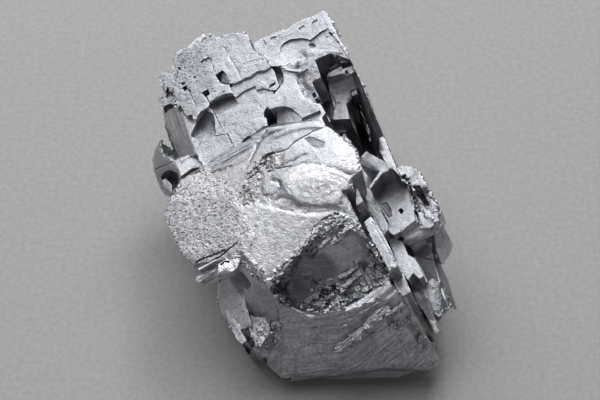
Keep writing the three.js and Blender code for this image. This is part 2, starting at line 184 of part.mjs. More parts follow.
  ['+', 'E2b', 'prism', -40, -13, [[7.33, 11.61], [9.5, 11.87], [11.32, 13.61], [16.06, 13.22], [18.45, 12.69], [19.35, 10.94], [17.71, 10.67], [14.15, 10.9]]],
  ['+', 'E3', 'prism', -40, -13.8, [[13.41, 12.84], [15.49, 14.21], [17.23, 14.22], [19.81, 14.01], [19.87, 12.9], [17.65, 12.48]]],
  ['+', 'E5', 'prism', -23.5, -18, [[12.34, 11.11], [15, 14.66], [19.07, 14.38], [19.9, 13.31], [25.79, 12.1], [27.68, 12.02], [27.63, 10.74], [19.62, 10.81]]],
  ['+', 'G_low', 'hull', [[13.05, 14.39, -17.6], [13.5, 15.66, -21], [13.4, 18.56, -24.5], [18.26, 16.52, -22.5], [19.39, 13.09, -19.2], [8.09, 14.62, -28], [11.63, 18.74, -28], [19.02, 15.02, -28], [16.94, 11.57, -28]]],
  ['+', 'G_low_2', 'hull', [[18.93, 13.45, -18.6], [18.71, 15.36, -18.4], [20.09, 16.34, -18.8], [22.46, 15.72, -19.2], [25.23, 15.69, -20], [26.38, 13.04, -19.4], [24.91, 11.72, -18.8], [21.2, 12.31, -18.6], [14.75, 13.77, -27], [16.03, 16.73, -27], [21.88, 16.01, -27], [22.76, 13.33, -27], [20.97, 12, -27]]],
  ['+', 'G_edge', 'hull', [[16.77, 17.14, -16.6], [16.87, 18.13, -18], [20.14, 17.89, -18.6], [22.72, 17.42, -18.8], [25.04, 16.88, -18.9], [27.02, 16.53, -18.9], [26.56, 15.31, -17.4], [23.34, 15.46, -17.2], [20.68, 16.19, -17], [15.05, 17.31, -20], [15.36, 18.28, -21], [19.48, 18.09, -21.5], [26.02, 16.63, -21], [25.32, 15.43, -20]]],
  ['+', 'K_knob', 'hull', [[12.25, 20.48, -10.4], [11.73, 21.9, -12.2], [13.52, 21.98, -13.8], [15.14, 21.84, -14.8], [16.54, 19.94, -14.2], [16.65, 18.5, -12.4], [14.91, 19.49, -10.8], [9.95, 19.95, -17.5], [10.32, 22.2, -17.5], [15.26, 22.02, -17.5], [16.81, 20.46, -17.5], [17.71, 18.25, -17.5], [16.06, 17.21, -18], [13.55, 18.03, -18]]],
  ['+', 'K_arm', 'hull', [[11.44, 13.85, -12.6], [11.28, 17.48, -12.4], [12.27, 20.35, -12], [13.76, 20.38, -12.5], [13.07, 17.56, -14], [12.37, 14.36, -14.2], [11.39, 13.44, -13.6], [9.12, 14.03, -17], [9.64, 20.65, -17], [11.61, 20.54, -17], [11.1, 14.38, -17]]],
  ['+', 'low_slab', 'prism', -45, -25, [[-1.14, 13.01], [-0.87, 17.67], [9.12, 17.01], [17.32, 13.8], [19.15, 10.21], [14.4, 8.99]]],
  // hopper hollows sunk in the back, right and left faces
  ['-', 'back_hopper_1', 'hopper', 'a-', [-39.5, -1.2, -15.8, 11.4, 10.6, 4, 0.8, 1.15]],
  ['-', 'back_hopper_2', 'hopper', 'a-', [-37.2, 12.6, -12.2, 8, 9.8, 3, 0.8, 1.1]],
  ['-', 'back_hopper_3', 'hopper', 'a-', [-35, -10.8, -24.5, 3.4, 9, 2, 0.7, 0.7]],
  ['-', 'back_hopper_4', 'hopper', 'a-', [-36.6, 2.4, -33.5, 8.2, 6.4, 3, 0.8, 0.95]],
  ['-', 'back_hopper_5', 'hopper', 'a-', [-35, 10.2, -25, 4.2, 7.6, 2, 0.8, 0.8]],
  ['-', 'right_hopper_1', 'hopper', 'b+', [21, -16.5, -18.2, 13.6, 11, 4, 0.6, 1.2]],
  ['-', 'right_hopper_2', 'hopper', 'b+', [20.3, -5.2, -18.4, 6.4, 10.4, 2, 0.5, 1]],
  ['-', 'right_hopper_3', 'hopper', 'b+', [18.2, -22, -29, 8.4, 4.2, 2, 0.7, 0.8]],
  ['-', 'right_hopper_4', 'hopper', 'b+', [16.8, 11, -29.2, 7.6, 5.2, 2, 0.8, 0.9]],
  ['-', 'right_hopper_5', 'hopper', 'b+', [19.4, 8, -23.8, 6.4, 3.8, 2, 0.8, 0.8]],
  ['-', 'left_hopper_1', 'hopper', 'b-', [-18.5, -14.8, -16.4, 9.4, 8.6, 3, 0.8, 1.05]],
  ['-', 'left_hopper_2', 'hopper', 'b-', [-15.4, -31, -13.4, 8.6, 7.6, 3, 0.8, 0.85]],
  ['-', 'left_hopper_3', 'hopper', 'b-', [-16.2, -6.5, -27.4, 13.4, 8.8, 3, 0.8, 1.1]],
  ['-', 'left_hopper_4', 'hopper', 'b-', [-20.5, 8.6, -18.2, 8.2, 9.2, 3, 0.8, 1]],
];

let body = null;
for (const [sign, , kind, ...v] of FEATURES) {
  let solids;
  if (kind === 'prism') solids = [prism(v[0], v[1], v[2])];
  else if (kind === 'hull') solids = [hull(v[0])];
  else if (kind === 'box') solids = [box(...v[0])];
  else solids = hopperSteps(v[0], v[1]);
  for (const s of solids) {
    if (body === null) body = s;
    else body = sign === '+' ? body.add(s) : body.subtract(s);
  }
}

// ---- resting attitude and flat base --------------------------------------------------
const toWorld = new THREE.Matrix4().makeBasis(
  new THREE.Vector3(...A_AXIS), new THREE.Vector3(...B_AXIS), new THREE.Vector3(...C_AXIS));
toWorld.setPosition(CENTRE[0], CENTRE[1], DATUM_HEIGHT);
const below = new THREE.BoxGeometry(400, 400, 100).translate(0, 0, BASE_CUT - 50);
below.applyMatrix4(toWorld.clone().invert());
body = body.subtract(toSolid(below));

// Keeps the outer skin only: a void with no way out, or a crumb that touches nothing, is dropped.
const [specimenSolid] = body.simplify(0.01).decompose().sort((x, y) => y.volume() - x.volume());

function toGeometry(solid) {
  const m = solid.getMesh();
  const pos = new Float32Array(m.numVert * 3);
  for (let i = 0; i < m.numVert; i++) {
    for (let k = 0; k < 3; k++) pos[3 * i + k] = m.vertProperties[m.numProp * i + k];
  }
  const all = new THREE.BufferGeometry();
  all.setAttribute('position', new THREE.BufferAttribute(pos, 3));
  all.setIndex(Array.from(m.triVerts));
  const g = all.toNonIndexed();
  const merged = mergeVertices(g, 1e-5);
  merged.computeVertexNormals();
  return merged;
}

const galena = new THREE.Mesh(
  toGeometry(specimenSolid),
  new THREE.MeshStandardMaterial({ color: 0x9a9da6, roughness: 0.38, metalness: 1.0 }));
galena.name = 'galena';
toWorld.decompose(galena.position, galena.quaternion, galena.scale);

const specimen = new THREE.Group();
specimen.add(galena);

export default specimen;
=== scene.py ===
# Skeletal galena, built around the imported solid: the solid's own faces are re-meshed finely,
# cut with the small hoppers, slits and steps, and then worked over like the real surfaces.
import bpy, bmesh, math, time
import numpy as np
from mathutils.geometry import delaunay_2d_cdt
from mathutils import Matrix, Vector


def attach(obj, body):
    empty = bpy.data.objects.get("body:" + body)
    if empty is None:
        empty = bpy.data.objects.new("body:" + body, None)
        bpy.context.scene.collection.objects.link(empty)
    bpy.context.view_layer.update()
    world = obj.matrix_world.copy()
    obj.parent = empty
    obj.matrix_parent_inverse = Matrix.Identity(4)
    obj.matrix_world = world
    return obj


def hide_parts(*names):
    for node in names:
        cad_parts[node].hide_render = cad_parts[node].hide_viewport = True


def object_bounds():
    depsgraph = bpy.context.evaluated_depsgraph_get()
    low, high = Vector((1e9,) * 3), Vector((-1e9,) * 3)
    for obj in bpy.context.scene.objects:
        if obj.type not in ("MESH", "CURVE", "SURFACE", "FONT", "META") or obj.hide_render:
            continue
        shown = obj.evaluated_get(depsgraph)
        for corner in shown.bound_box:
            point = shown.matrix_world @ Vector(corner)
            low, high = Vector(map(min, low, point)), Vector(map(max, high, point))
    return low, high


T0 = time.time()
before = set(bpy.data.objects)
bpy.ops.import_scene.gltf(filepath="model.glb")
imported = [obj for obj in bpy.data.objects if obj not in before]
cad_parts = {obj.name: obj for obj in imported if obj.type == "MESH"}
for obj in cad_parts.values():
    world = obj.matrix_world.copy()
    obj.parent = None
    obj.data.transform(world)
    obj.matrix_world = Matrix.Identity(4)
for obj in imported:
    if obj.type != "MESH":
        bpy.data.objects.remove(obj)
CAD_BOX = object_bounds()

# ---- the crystal frame: a, b, c in mm, square to the flat faces --------------------------
AX = np.array([[0.410884, -0.892876, -0.184244],
               [0.880595, 0.336355, 0.333792],
               [-0.236064, -0.299395, 0.924466]])
DATUM = np.array([-0.086, -12.414, 30.0])
EYE = 400.0                                   # distance of the sighting point from the datum
SIGHT = np.array([[1, 0, 0], [0, .5 ** .5, .5 ** .5], [0, -.5 ** .5, .5 ** .5]])


def to_abc(w):
    return (w - DATUM) @ AX.T


def to_world(q):
    return q @ AX + DATUM


def plan(q):
    """Points of the crystal frame, sighted on the plane through the datum: (x right, y up) in mm, and depth."""
    p = (q @ AX) @ SIGHT.T
    k = EYE / (EYE - p[:, 2])
    return np.stack([p[:, 0] * k, p[:, 1] * k, p[:, 2]], 1)


def on_c(s, t, level):
    """The point (a, b) at height c = level that is sighted at (s, t)."""
    c = AX[2] @ SIGHT.T
    o = np.array([0, 0, -EYE])
    r = np.array([s / EYE, t / EYE, -1.0])
    p = r * ((level + o @ c) / (r @ c)) - o
    w = p @ SIGHT
    return AX[0] @ w, AX[1] @ w


# ---- noise ------------------------------------------------------------------------------
def _hash(i, j, k, seed):
    h = (i * 374761393 + j * 668265263 + k * 2147483647 + seed * 1274126177) & 0xFFFFFFFF
    h = ((h ^ (h >> 13)) * 1274126177) & 0xFFFFFFFF
    h = ((h ^ (h >> 16)) * 2246822519) & 0xFFFFFFFF
    return ((h ^ (h >> 15)) & 0xFFFFFF) / float(0xFFFFFF)


def noise(p, seed=0):
    """Smooth value noise in -1..1 on an (n, 3) array."""
    i = np.floor(p).astype(np.int64)
    f = p - i
    f = f * f * (3 - 2 * f)
    out = 0
    for dx in (0, 1):
        for dy in (0, 1):
            for dz in (0, 1):
                w = (f[:, 0] if dx else 1 - f[:, 0]) * (f[:, 1] if dy else 1 - f[:, 1]) * (f[:, 2] if dz else 1 - f[:, 2])
                out = out + w * _hash(i[:, 0] + dx, i[:, 1] + dy, i[:, 2] + dz, seed)
    return out * 2 - 1


def fbm(p, octaves=3, seed=0, gain=.5):
    s, a, n = 0, 1.0, 0
    for o in range(octaves):
        s = s + a * noise(p * 2.03 ** o + 17.3 * o, seed + o)
        n += a
        a *= gain
    return s / n


def cell(p, seed=0):
    """A random number in 0..1 for each unit cell."""
    i = np.floor(p).astype(np.int64)
    return _hash(i[:, 0], i[:, 1], i[:, 2] if p.shape[1] > 2 else 0 * i[:, 0], seed)


def ramp(x, a, b):
    t = np.clip((x - a) / (b - a), 0, 1)
    return t * t * (3 - 2 * t)


def inside(P, poly):
    """Even-odd test of (n, 2) points against one closed outline."""
    poly = np.asarray(poly, float)
    x, y = P[:, 0], P[:, 1]
    r = np.zeros(len(P), bool)
    for (x0, y0), (x1, y1) in zip(poly, np.roll(poly, -1, 0)):
        if y0 == y1:
            continue
        c = (y0 > y) != (y1 > y)
        if c.any():
            r[c] ^= x[c] < (x1 - x0) * (y[c] - y0) / (y1 - y0) + x0
    return r


def line_distance(P, line, closed=False):
    line = np.asarray(line, float)
    d = np.full(len(P), 1e9)
    s = np.zeros(len(P))
    run = 0
    ends = np.roll(line, -1, 0) if closed else line[1:]
    for a, b in zip(line, ends):
        v = b - a
        L = np.hypot(*v)
        if L < 1e-9:
            continue
        t = np.clip(((P - a) @ v) / L ** 2, 0, 1)
        q = np.hypot(*(P - a - t[:, None] * v).T)
        m = q < d
        d[m] = q[m]
        s[m] = (run + t * L)[m]
        run += L
    return d, s / max(run, 1e-9)


def region(P, poly, soft):
    """1 inside the outline, falling to 0 over soft mm outside it."""
    lo, hi = np.min(poly, 0) - soft * 1.5, np.max(poly, 0) + soft * 1.5
    w = np.zeros(len(P))
    m = ((P > lo) & (P < hi)).all(1)
    if not m.any():
        return w
    d, _ = line_distance(P[m], poly, True)
    d[inside(P[m], poly)] *= -1
    w[m] = 1 - ramp(d, -soft * .5, soft * .5)
    return w


# ---- small solids -----------------------------------------------------------------------
def mesh_object(name, V, F):
    me = bpy.data.meshes.new(name)
    me.from_pydata([tuple(v) for v in V], [], [tuple(f) for f in F])
    ob = bpy.data.objects.new(name, me)
    bpy.context.scene.collection.objects.link(ob)
    return ob


def prism_mesh(poly, c0, c1, taper=0.0):
    poly = [tuple(p) for p in poly]
    area = sum(a[0] * b[1] - b[0] * a[1] for a, b in zip(poly, poly[1:] + poly[:1]))
    if area < 0:
        poly = poly[::-1]
    n = len(poly)
    cx, cy = np.mean(poly, 0)
    low = [(cx + (x - cx) * (1 - taper), cy + (y - cy) * (1 - taper), c0) for x, y in poly]
    high = [(x, y, c1) for x, y in poly]
    return low + high, [tuple(range(n))[::-1], tuple(range(n, 2 * n))] + [(i, (i + 1) % n, n + (i + 1) % n, n + i) for i in range(n)]


def hull_mesh(points):
    bm = bmesh.new()
    for p in points:
        bm.verts.new(p)
    r = bmesh.ops.convex_hull(bm, input=bm.verts)
    bmesh.ops.delete(bm, geom=list({v for v in r["geom_interior"] + r["geom_unused"] if isinstance(v, bmesh.types.BMVert)}), context="VERTS")
    bmesh.ops.recalc_face_normals(bm, faces=bm.faces)
    bm.verts.index_update()
    V = [tuple(v.co) for v in bm.verts]
    F = [tuple(v.index for v in f.verts) for f in bm.faces]
    bm.free()
    return V, F


def boolean(ob, V, F, op):
    tool = mesh_object("tool", V, F)
    m = ob.modifiers.new("b", "BOOLEAN")
    m.operation = op
    m.object = tool
    m.solver = "MANIFOLD"
    dg = bpy.context.evaluated_depsgraph_get()
    me = bpy.data.meshes.new_from_object(ob.evaluated_get(dg))
    ob.modifiers.clear()
    ok = len(me.polygons) > 100
    if ok:
        old = ob.data
        ob.data = me
        bpy.data.meshes.remove(old)
    bpy.data.objects.remove(tool)
    return ok


def box_mesh(centre, half, turn=None):
    """Eight corners and twelve triangles, facing out."""
    k = np.array([[x, y, z] for x in (-1, 1) for y in (-1, 1) for z in (-1, 1)], float) * half
    if turn is not None:
        k = k @ turn.T
    t = [(0, 1, 3), (0, 3, 2), (4, 6, 7), (4, 7, 5), (0, 4, 5), (0, 5, 1), (2, 3, 7), (2, 7, 6), (0, 2, 6), (0, 6, 4), (1, 5, 7), (1, 7, 3)]
    return k + centre, np.array(t)


def join(parts):
    V, F, n = [], [], 0
    for v, f in parts:
        V.append(v)
        F.append(np.asarray(f) + n)
        n += len(v)
    return np.concatenate(V), np.concatenate(F)


def cut_boxes(ob, boxes, op="DIFFERENCE", gap=.05):
    """Cuts many crystal-aligned boxes in a few passes: boxes of one pass never touch."""
    passes = []
    for c, h in boxes:
        for p in passes:
            if all((abs(c - c2) > h + h2 + gap).any() for c2, h2 in p):
                p.append((c, h))
                break
        else:
            passes.append([(c, h)])
    lost = 0
    for p in passes:
        if not boolean(ob, *join([box_mesh(c, h) for c, h in p]), op):
            lost += len(p)
    return len(passes), lost


def ragged(poly, rng, step=.5, amount=.07):
    """The outline with uneven sides, as a broken edge has."""
    out = []
    for (x0, y0), (x1, y1) in zip(poly, poly[1:] + poly[:1]):
        n = max(1, int(math.hypot(x1 - x0, y1 - y0) / step))
        for i in range(n):
            t = i / n
            j = rng.uniform(-amount, amount, 2) * (1 if i else .6)
            out.append((x0 + (x1 - x0) * t + j[0], y0 + (y1 - y0) * t + j[1]))
    return out


def turned(rng, degrees):
    a = rng.normal(size=3)
    a /= np.linalg.norm(a)
    t = math.radians(degrees) * rng.uniform(.2, 1)
    K = np.array([[0, -a[2], a[1]], [a[2], 0, -a[0]], [-a[1], a[0], 0]])
    return np.eye(3) + math.sin(t) * K + (1 - math.cos(t)) * K @ K


def from_plan(s, t, depth):
    """The point of the crystal frame sighted at (s, t), depth mm above the sighting plane."""
    k = (EYE - depth) / EYE
    return (np.array([s * k, t * k, depth]) @ SIGHT) @ AX.T


def between(low, high):
    """A closed block between two outlines of the same count, given anticlockwise as sighted."""
    n = len(low)
    return [tuple(p) for p in low] + [tuple(p) for p in high], [tuple(range(n))[::-1], tuple(range(n, 2 * n))] + [(i, (i + 1) % n, n + (i + 1) % n, n + i) for i in range(n)]


# ---- small cuts and growths: kind, name, face level, low c, high c, sighted outline (x, y in mm), taper ------
SMALL = [
    ("add", "a_plate_1", -2, -3, -1.9, [(-14.57, 27.05), (-13.43, 27.52), (-10.95, 22.48), (-11.33, 22.76), (-12.67, 22.06)], 0),
    ("add", "a_plate_2", -2, -3, -1.84, [(-10.86, 25.62), (-8.38, 26.38), (-6.48, 26.67), (-5.68, 25.24), (-6.86, 24.69), (-8.19, 24.46), (-9.33, 23.58), (-10.86, 23.05)], 0),
    ("add", "a_plate_3", -2, -3, -1.93, [(-13.52, 30.48), (-10.86, 31.62), (-9.71, 31.05), (-9.52, 29.9), (-8.76, 28.57), (-7.24, 27.05), (-11.05, 25.9), (-12.19, 26.67)], 0),
    ("cut", "a_square", -2, -2.42, -1.5, [(-18.95, 26.19), (-18.57, 26.74), (-17.56, 27.2), (-17.09, 26.9), (-16.69, 25.52), (-17.9, 25.03), (-18.61, 25.22)], 0),
    ("crack", "a_slit_1", -2, -4.2, -1.6, [(-17.9, 19.68), (-17.7, 19.12), (-17.34, 18.66), (-17.18, 17.96), (-16.92, 17.53), (-16.52, 16.98), (-16.4, 16.5), (-16.11, 16.05), (-15.96, 15.47), (-15.66, 15), (-15.43, 14.54), (-15.2, 14.13), (-15.1, 13.6), (-14.9, 13.13), (-14.82, 13.16), (-14.98, 13.64), (-15.11, 14.16), (-15.32, 14.59), (-15.52, 15.09), (-15.86, 15.52), (-15.98, 16.1), (-16.26, 16.56), (-16.39, 17.04), (-16.75, 17.64), (-16.98, 18.04), (-17.19, 18.74), (-17.52, 19.22), (-17.72, 19.75)], 0),
    ("crack", "a_slit_2", -2.9, -4.1, -2.6, [(-14.07, 12.71), (-13.75, 12.28), (-13.59, 11.82), (-13.25, 11.29), (-12.87, 10.82), (-12.71, 10.5), (-12.45, 9.96), (-12.31, 10.04), (-12.61, 10.55), (-12.77, 10.89), (-13.09, 11.39), (-13.43, 11.9), (-13.54, 12.39), (-13.93, 12.82)], 0),
    ("crack", "a_slit_3", -2, -3.2, -1.6, [(-21.33, 21.19), (-21.1, 20.7), (-20.87, 20.23), (-20.62, 19.67), (-20.26, 19.02), (-20.06, 18.45), (-19.94, 18.5), (-20.13, 19.08), (-20.5, 19.73), (-20.72, 20.29), (-20.87, 20.8), (-21.15, 21.28)], 0),
    ("crack", "a_slit_4", -2, -2.5, -1.7, [(-13.42, 22.18), (-13.35, 21.55), (-13.18, 21.08), (-12.95, 20.45), (-12.8, 20.5), (-12.99, 21.15), (-13.17, 21.59), (-13.25, 22.2)], 0),
    ("cut", "a_dot_1", -2.45, -3.65, -2.15, [(-13.33, 21.9), (-12.95, 22.04), (-12.84, 21.6), (-13.18, 21.47)], 0),
    ("cut", "a_hole_1", -2.9, -4.9, -2.5, [(-11.09, 11.01), (-10.82, 11.54), (-9.81, 12.27), (-9.33, 12.25), (-9.26, 11.81), (-10.55, 10.93)], 0),
    ("add", "a_square_2", -2.9, -3.9, -2.58, [(-9.1, 15.05), (-7.62, 15.7), (-6.36, 15.5), (-6.1, 14.1), (-8.32, 12.95)], 0),
    ("add", "a_notch", -2.9, -3.9, -2.68, [(-13.9, 9.43), (-13.52, 10.04), (-12.38, 10.29), (-12.1, 9.52), (-13.64, 8.57)], 0),
    ("cut", "a_low_plate", -2.9, -3.1, -2.5, [(-18.86, 11.43), (-16.76, 12.19), (-14.29, 12.69), (-13.81, 10.86), (-13.98, 9.33), (-13.9, 8.19), (-17.9, 6.29), (-19.05, 7.24), (-19.62, 9.52)], 0),
    ("cut", "a_edge_1", -2, -2.8, -1.7, [(-20.95, 29.71), (-20.19, 30), (-19.81, 29.43), (-20.57, 29.05)], 0),
    ("crack", "a_line_1", -2.9, -3.15, -2.6, [(-18.42, 10.45), (-18.21, 9.94), (-18.16, 9.36), (-17.89, 8.67), (-17.89, 8.19), (-17.77, 7.56), (-17.6, 7.02), (-17.45, 7.07), (-17.6, 7.6), (-17.72, 8.21), (-17.76, 8.7), (-18.02, 9.39), (-18.09, 9.97), (-18.31, 10.5)], 0),
    ("crack", "a_line_2", -2, -2.22, -1.7, [(-14.35, 28.92), (-13.99, 28.32), (-13.66, 27.71), (-13.44, 27.19), (-13.17, 26.69), (-12.76, 26.09), (-12.48, 25.72), (-12.26, 25.18), (-11.9, 24.65), (-11.78, 24.1), (-11.53, 23.48), (-11.2, 23.01), (-11.09, 23.09), (-11.43, 23.54), (-11.64, 24.14), (-11.78, 24.71), (-12.17, 25.23), (-12.39, 25.77), (-12.66, 26.16), (-13.05, 26.76), (-13.35, 27.24), (-13.54, 27.77), (-13.89, 28.38), (-14.22, 28.99)], 0),
    ("cut", "a_crevice", -3.2, -6.2, -1.8, [(-22.48, 4.61), (-22.02, 5.26), (-20.95, 5.96), (-20.08, 6.44), (-18.7, 5.98), (-19.35, 5.45), (-20.5, 5.37), (-21.71, 4.91)], 0),
    ("cut", "a_nick_1", -2, -2.7, -1.7, [(-23.52, 25.14), (-22.86, 25.41), (-22.67, 24.84), (-23.35, 24.57)], 0),
    ("cut", "a_nick_2", -2, -3, -1.7, [(-22.67, 22.38), (-22.1, 22.57), (-21.9, 22.06), (-22.48, 21.87)], 0),
    ("cut", "a_nick_3", -2, -2.6, -1.7, [(-20.27, 23.62), (-19.92, 23.77), (-19.77, 23.39), (-20.11, 23.24)], 0),
    ("cut", "l_slot", -6, -8.6, -3.6, [(-26.1, 17.22), (-25.98, 17.79), (-24.65, 18.44), (-24.3, 17.9), (-25.79, 17.03)], 0),
    ("cut", "l_slot_2", -5, -6.6, -4, [(-25.9, 19.92), (-25.22, 21.52), (-24.95, 21.26), (-25.41, 19.73)], 0),
    ("cut", "b_win_1", -2, -2.32, -1.5, [(-5.71, 30.63), (-5.49, 31.01), (-4.76, 31.28), (-4.38, 30.97), (-4.65, 30.55), (-5.3, 30.29)], 0),
    ("cut", "b_win_2", -2, -2.32, -1.5, [(-0.34, 32.57), (-0.08, 32.95), (0.69, 33.37), (1.03, 32.99), (0.38, 32.57), (-0.15, 32.3)], 0),
    ("cut", "b_win_3", -2, -2.32, -1.5, [(2.21, 33.71), (2.48, 34.13), (3.24, 34.48), (3.47, 34.06), (3.01, 33.75), (2.44, 33.52)], 0),
    ("cut", "b_pit_1", -2.8, -3.3, -2.4, [(1.6, 29.6), (2.1, 29.87), (2.97, 29.6), (3.12, 29.14), (2.55, 28.69), (2.1, 28.88)], 0.3),
    ("cut", "b_oval", -2.8, -3.02, -2.4, [(4.95, 32.46), (5.71, 32.76), (6.36, 32.19), (6.44, 31.31), (6.06, 30.86), (5.41, 31.81)], 0),
    ("cut", "b_nick_1", -2, -3.2, -1.6, [(6.17, 33.52), (6.63, 33.71), (7.12, 32.57), (6.67, 32.38)], 0),
    ("cut", "b_nick_2", -2.4, -3.4, -1.8, [(7.05, 31.62), (7.73, 31.89), (8.27, 30.67), (7.7, 30.36)], 0),
    ("cut", "b_nick_3", -2.8, -3.6, -2.2, [(6.97, 30.48), (8, 30.78), (8.65, 29.98), (7.92, 29.6), (7.24, 29.9)], 0),
    ("cut", "b_corner", -2, -4.4, -1.4, [(-8.65, 29.9), (-8.19, 30.21), (-7.12, 30.82), (-6.48, 29.9), (-6.48, 28.76), (-6.93, 27.62), (-8, 28.84)], 0),
    ("cut", "ab_gap", -2.2, -4.4, -1.7, [(-4.95, 25.14), (-4.3, 25.45), (-3.89, 24.19), (-3.28, 22.86), (-3.81, 21.79), (-4.27, 22.48)], 0),
    ("cut", "ab_gap_2", -2.45, -4.45, -1.95, [(-6.1, 21.22), (-5.64, 21.98), (-4.69, 22.55), (-4.95, 21.9)], 0),
    ("cut", "c_in_1", -4.6, -5.4, -4.2, [(8.48, 24.57), (8.95, 24.76), (9.26, 24.08), (8.76, 23.92)], 0),
    ("add", "c_cube_1", -3.4, -7, -2.9, [(6.36, 27.5), (7.05, 27.77), (7.31, 27.31), (6.63, 27.01)], 0),
    ("add", "c_cube_2", -3.7, -7.3, -3.3, [(7.16, 27.05), (7.89, 27.31), (8.15, 26.93), (7.43, 26.63)], 0),
    ("cut", "c_hole_1", -9.6, -13.6, -8.6, [(9.6, 20.88), (10.59, 21.22), (10.86, 20.84), (9.83, 20.42)], 0),
    ("crack", "c_line_1", -9.6, -9.85, -9.3, [(6.7, 20.31), (7.17, 20.58), (7.68, 20.7), (8.29, 20.94), (8.64, 21.07), (9.31, 21.19), (9.74, 21.47), (9.68, 21.57), (9.26, 21.33), (8.61, 21.19), (8.23, 21.1), (7.62, 20.86), (7.13, 20.69), (6.63, 20.46)], 0),
    ("cut", "f_dot_1", -10.5, -12.1, -9.9, [(22.21, -1.64), (22.59, -1.41), (22.78, -1.9), (22.4, -2.1)], 0),
    ("cut", "f_slot_curve", -10.5, -12.5, -10.1, [(19.62, -6.17), (20.57, -5.14), (21.33, -4.46), (22.29, -3.66), (22.74, -3.89), (21.6, -4.84), (20.38, -5.98)], 0),
    ("cut", "f_steps_1", -10.5, -11, -10, [(20.57, 3.05), (21.64, 1.71), (22.17, 0), (21.33, -1.14), (20.88, 0.76), (20.19, 2.29)], 0),
    ("cut", "e_pit_1", -2.6, -6, -1.1, [(10.93, -1.45), (12, -0.69), (12.65, -2.02), (11.54, -2.67)], 0),
    ("add", "e_cube_1", -5.2, -9.2, -4.7, [(10.93, -1.83), (11.54, -1.52), (11.92, -2.17), (11.35, -2.48)], 0),
    ("add", "e_cube_2", -4.6, -8.6, -4.1, [(11.81, -2.59), (12.65, -2.06), (13.07, -2.63), (12.11, -3.31)], 0),
    ("crack", "e_line_1", -9.4, -9.6, -9.1, [(18.12, -11.22), (18.63, -11.02), (19.07, -10.75), (19.47, -10.45), (19.39, -10.35), (19, -10.64), (18.55, -10.87), (18.07, -11.1)], 0),
    ("add", "e_bar_1", -9.4, -11.4, -9.18, [(11.73, 1.9), (12.15, 2.02), (16.3, -5.45), (16.08, -6.4)], 0),
    ("crack", "e_side_1", -1.7, -2, -1.4, [(13.7, -4.13), (13.93, -4.57), (14.18, -5.03), (14.47, -5.42), (14.74, -5.87), (15.01, -6.3), (15.29, -6.75), (15.48, -7.25), (15.72, -7.64), (16.05, -8.03), (16.17, -8.53), (16.39, -8.9), (16.75, -9.45), (17.01, -9.88), (17.24, -10.23), (17.49, -10.65), (17.76, -11.07), (17.89, -11.6), (18.22, -11.98), (18.36, -11.86), (18.07, -11.51), (17.9, -11.01), (17.65, -10.56), (17.43, -10.11), (17.14, -9.8), (16.95, -9.33), (16.55, -8.8), (16.38, -8.45), (16.23, -7.93), (15.9, -7.51), (15.65, -7.16), (15.42, -6.69), (15.18, -6.2), (14.9, -5.78), (14.66, -5.3), (14.34, -4.93), (14.12, -4.47), (13.88, -4.03)], 0),
    ("cut", "e4_slot", -6.6, -9.4, -6.1, [(17.03, -13.26), (18.55, -12.61), (19.54, -13.98), (17.9, -14.97)], 0),
    ("add", "g_bar_1", -18, -21, -17.5, [(21.71, -11.81), (22.29, -11.7), (24.38, -15.62), (24, -16.46)], 0),
    ("cut", "g_slot_1", -19, -21.4, -18.2, [(24.76, -11.81), (25.52, -11.43), (26.48, -13.33), (25.9, -13.9)], 0),
    ("cut", "g_slot_2", -19, -21.4, -16.4, [(26.86, -16.57), (27.35, -16.3), (28.08, -17.71), (27.62, -18.1)], 0),
    ("crack", "d_crack_2", 0.4, -0.9, 2.7, [(-4.9, 9.16), (-5.62, 8.96), (-6.4, 8.78), (-6.74, 8.39), (-7.1, 8.08), (-7.35, 7.51), (-7.65, 7.21), (-7.85, 6.43), (-7.92, 5.87), (-8.26, 5.46), (-8.77, 5.13), (-9.09, 4.69), (-9.58, 4.41), (-10.14, 4.01), (-10.05, 3.88), (-9.49, 4.28), (-8.99, 4.57), (-8.62, 4.96), (-8.11, 5.3), (-7.73, 5.79), (-7.65, 6.38), (-7.36, 7.06), (-7.09, 7.36), (-6.88, 7.93), (-6.55, 8.19), (-6.26, 8.47), (-5.53, 8.6), (-4.81, 8.9)], 0),
    ("crack", "d_crack_3", 0.5, -0.9, 2.8, [(-7.83, 5.8), (-8.35, 6.53), (-8.8, 6.25), (-9.26, 5.77), (-9.68, 5.41), (-10.3, 5.18), (-10.27, 5.1), (-9.62, 5.3), (-9.18, 5.68), (-8.68, 6.11), (-8.45, 6.34), (-7.98, 5.7)], 0),
    ("crack", "d_crack_4", 0.7, -0.1, 3, [(-2.45, 6.42), (-3.06, 6.33), (-3.62, 6.24), (-4.03, 6.14), (-4.75, 6.1), (-5.31, 5.76), (-5.85, 5.67), (-6.49, 5.52), (-6.46, 5.37), (-5.82, 5.5), (-5.26, 5.62), (-4.7, 5.91), (-4.01, 5.98), (-3.59, 6.08), (-3.03, 6.14), (-2.42, 6.19)], 0),
    ("crack", "d_crack_5", 0.6, -0.2, 2.9, [(8.3, 5.24), (8.9, 5), (9.46, 4.94), (10.13, 4.87), (10.84, 4.98), (11.58, 4.66), (11.66, 4.86), (10.86, 5.14), (10.13, 5.03), (9.48, 5.12), (8.94, 5.17), (8.34, 5.35)], 0),
    ("crack", "d_spike_slit_1", -2.2, -4.2, -0.2, [(-20.43, -12.54), (-20.02, -12.22), (-19.53, -11.98), (-19.1, -11.65), (-18.64, -11.4), (-18.1, -11.18), (-17.65, -11.18), (-17.06, -11.02), (-17.08, -10.92), (-17.67, -11.02), (-18.13, -11.03), (-18.7, -11.24), (-19.22, -11.46), (-19.65, -11.8), (-20.11, -12.07), (-20.56, -12.37)], 0),
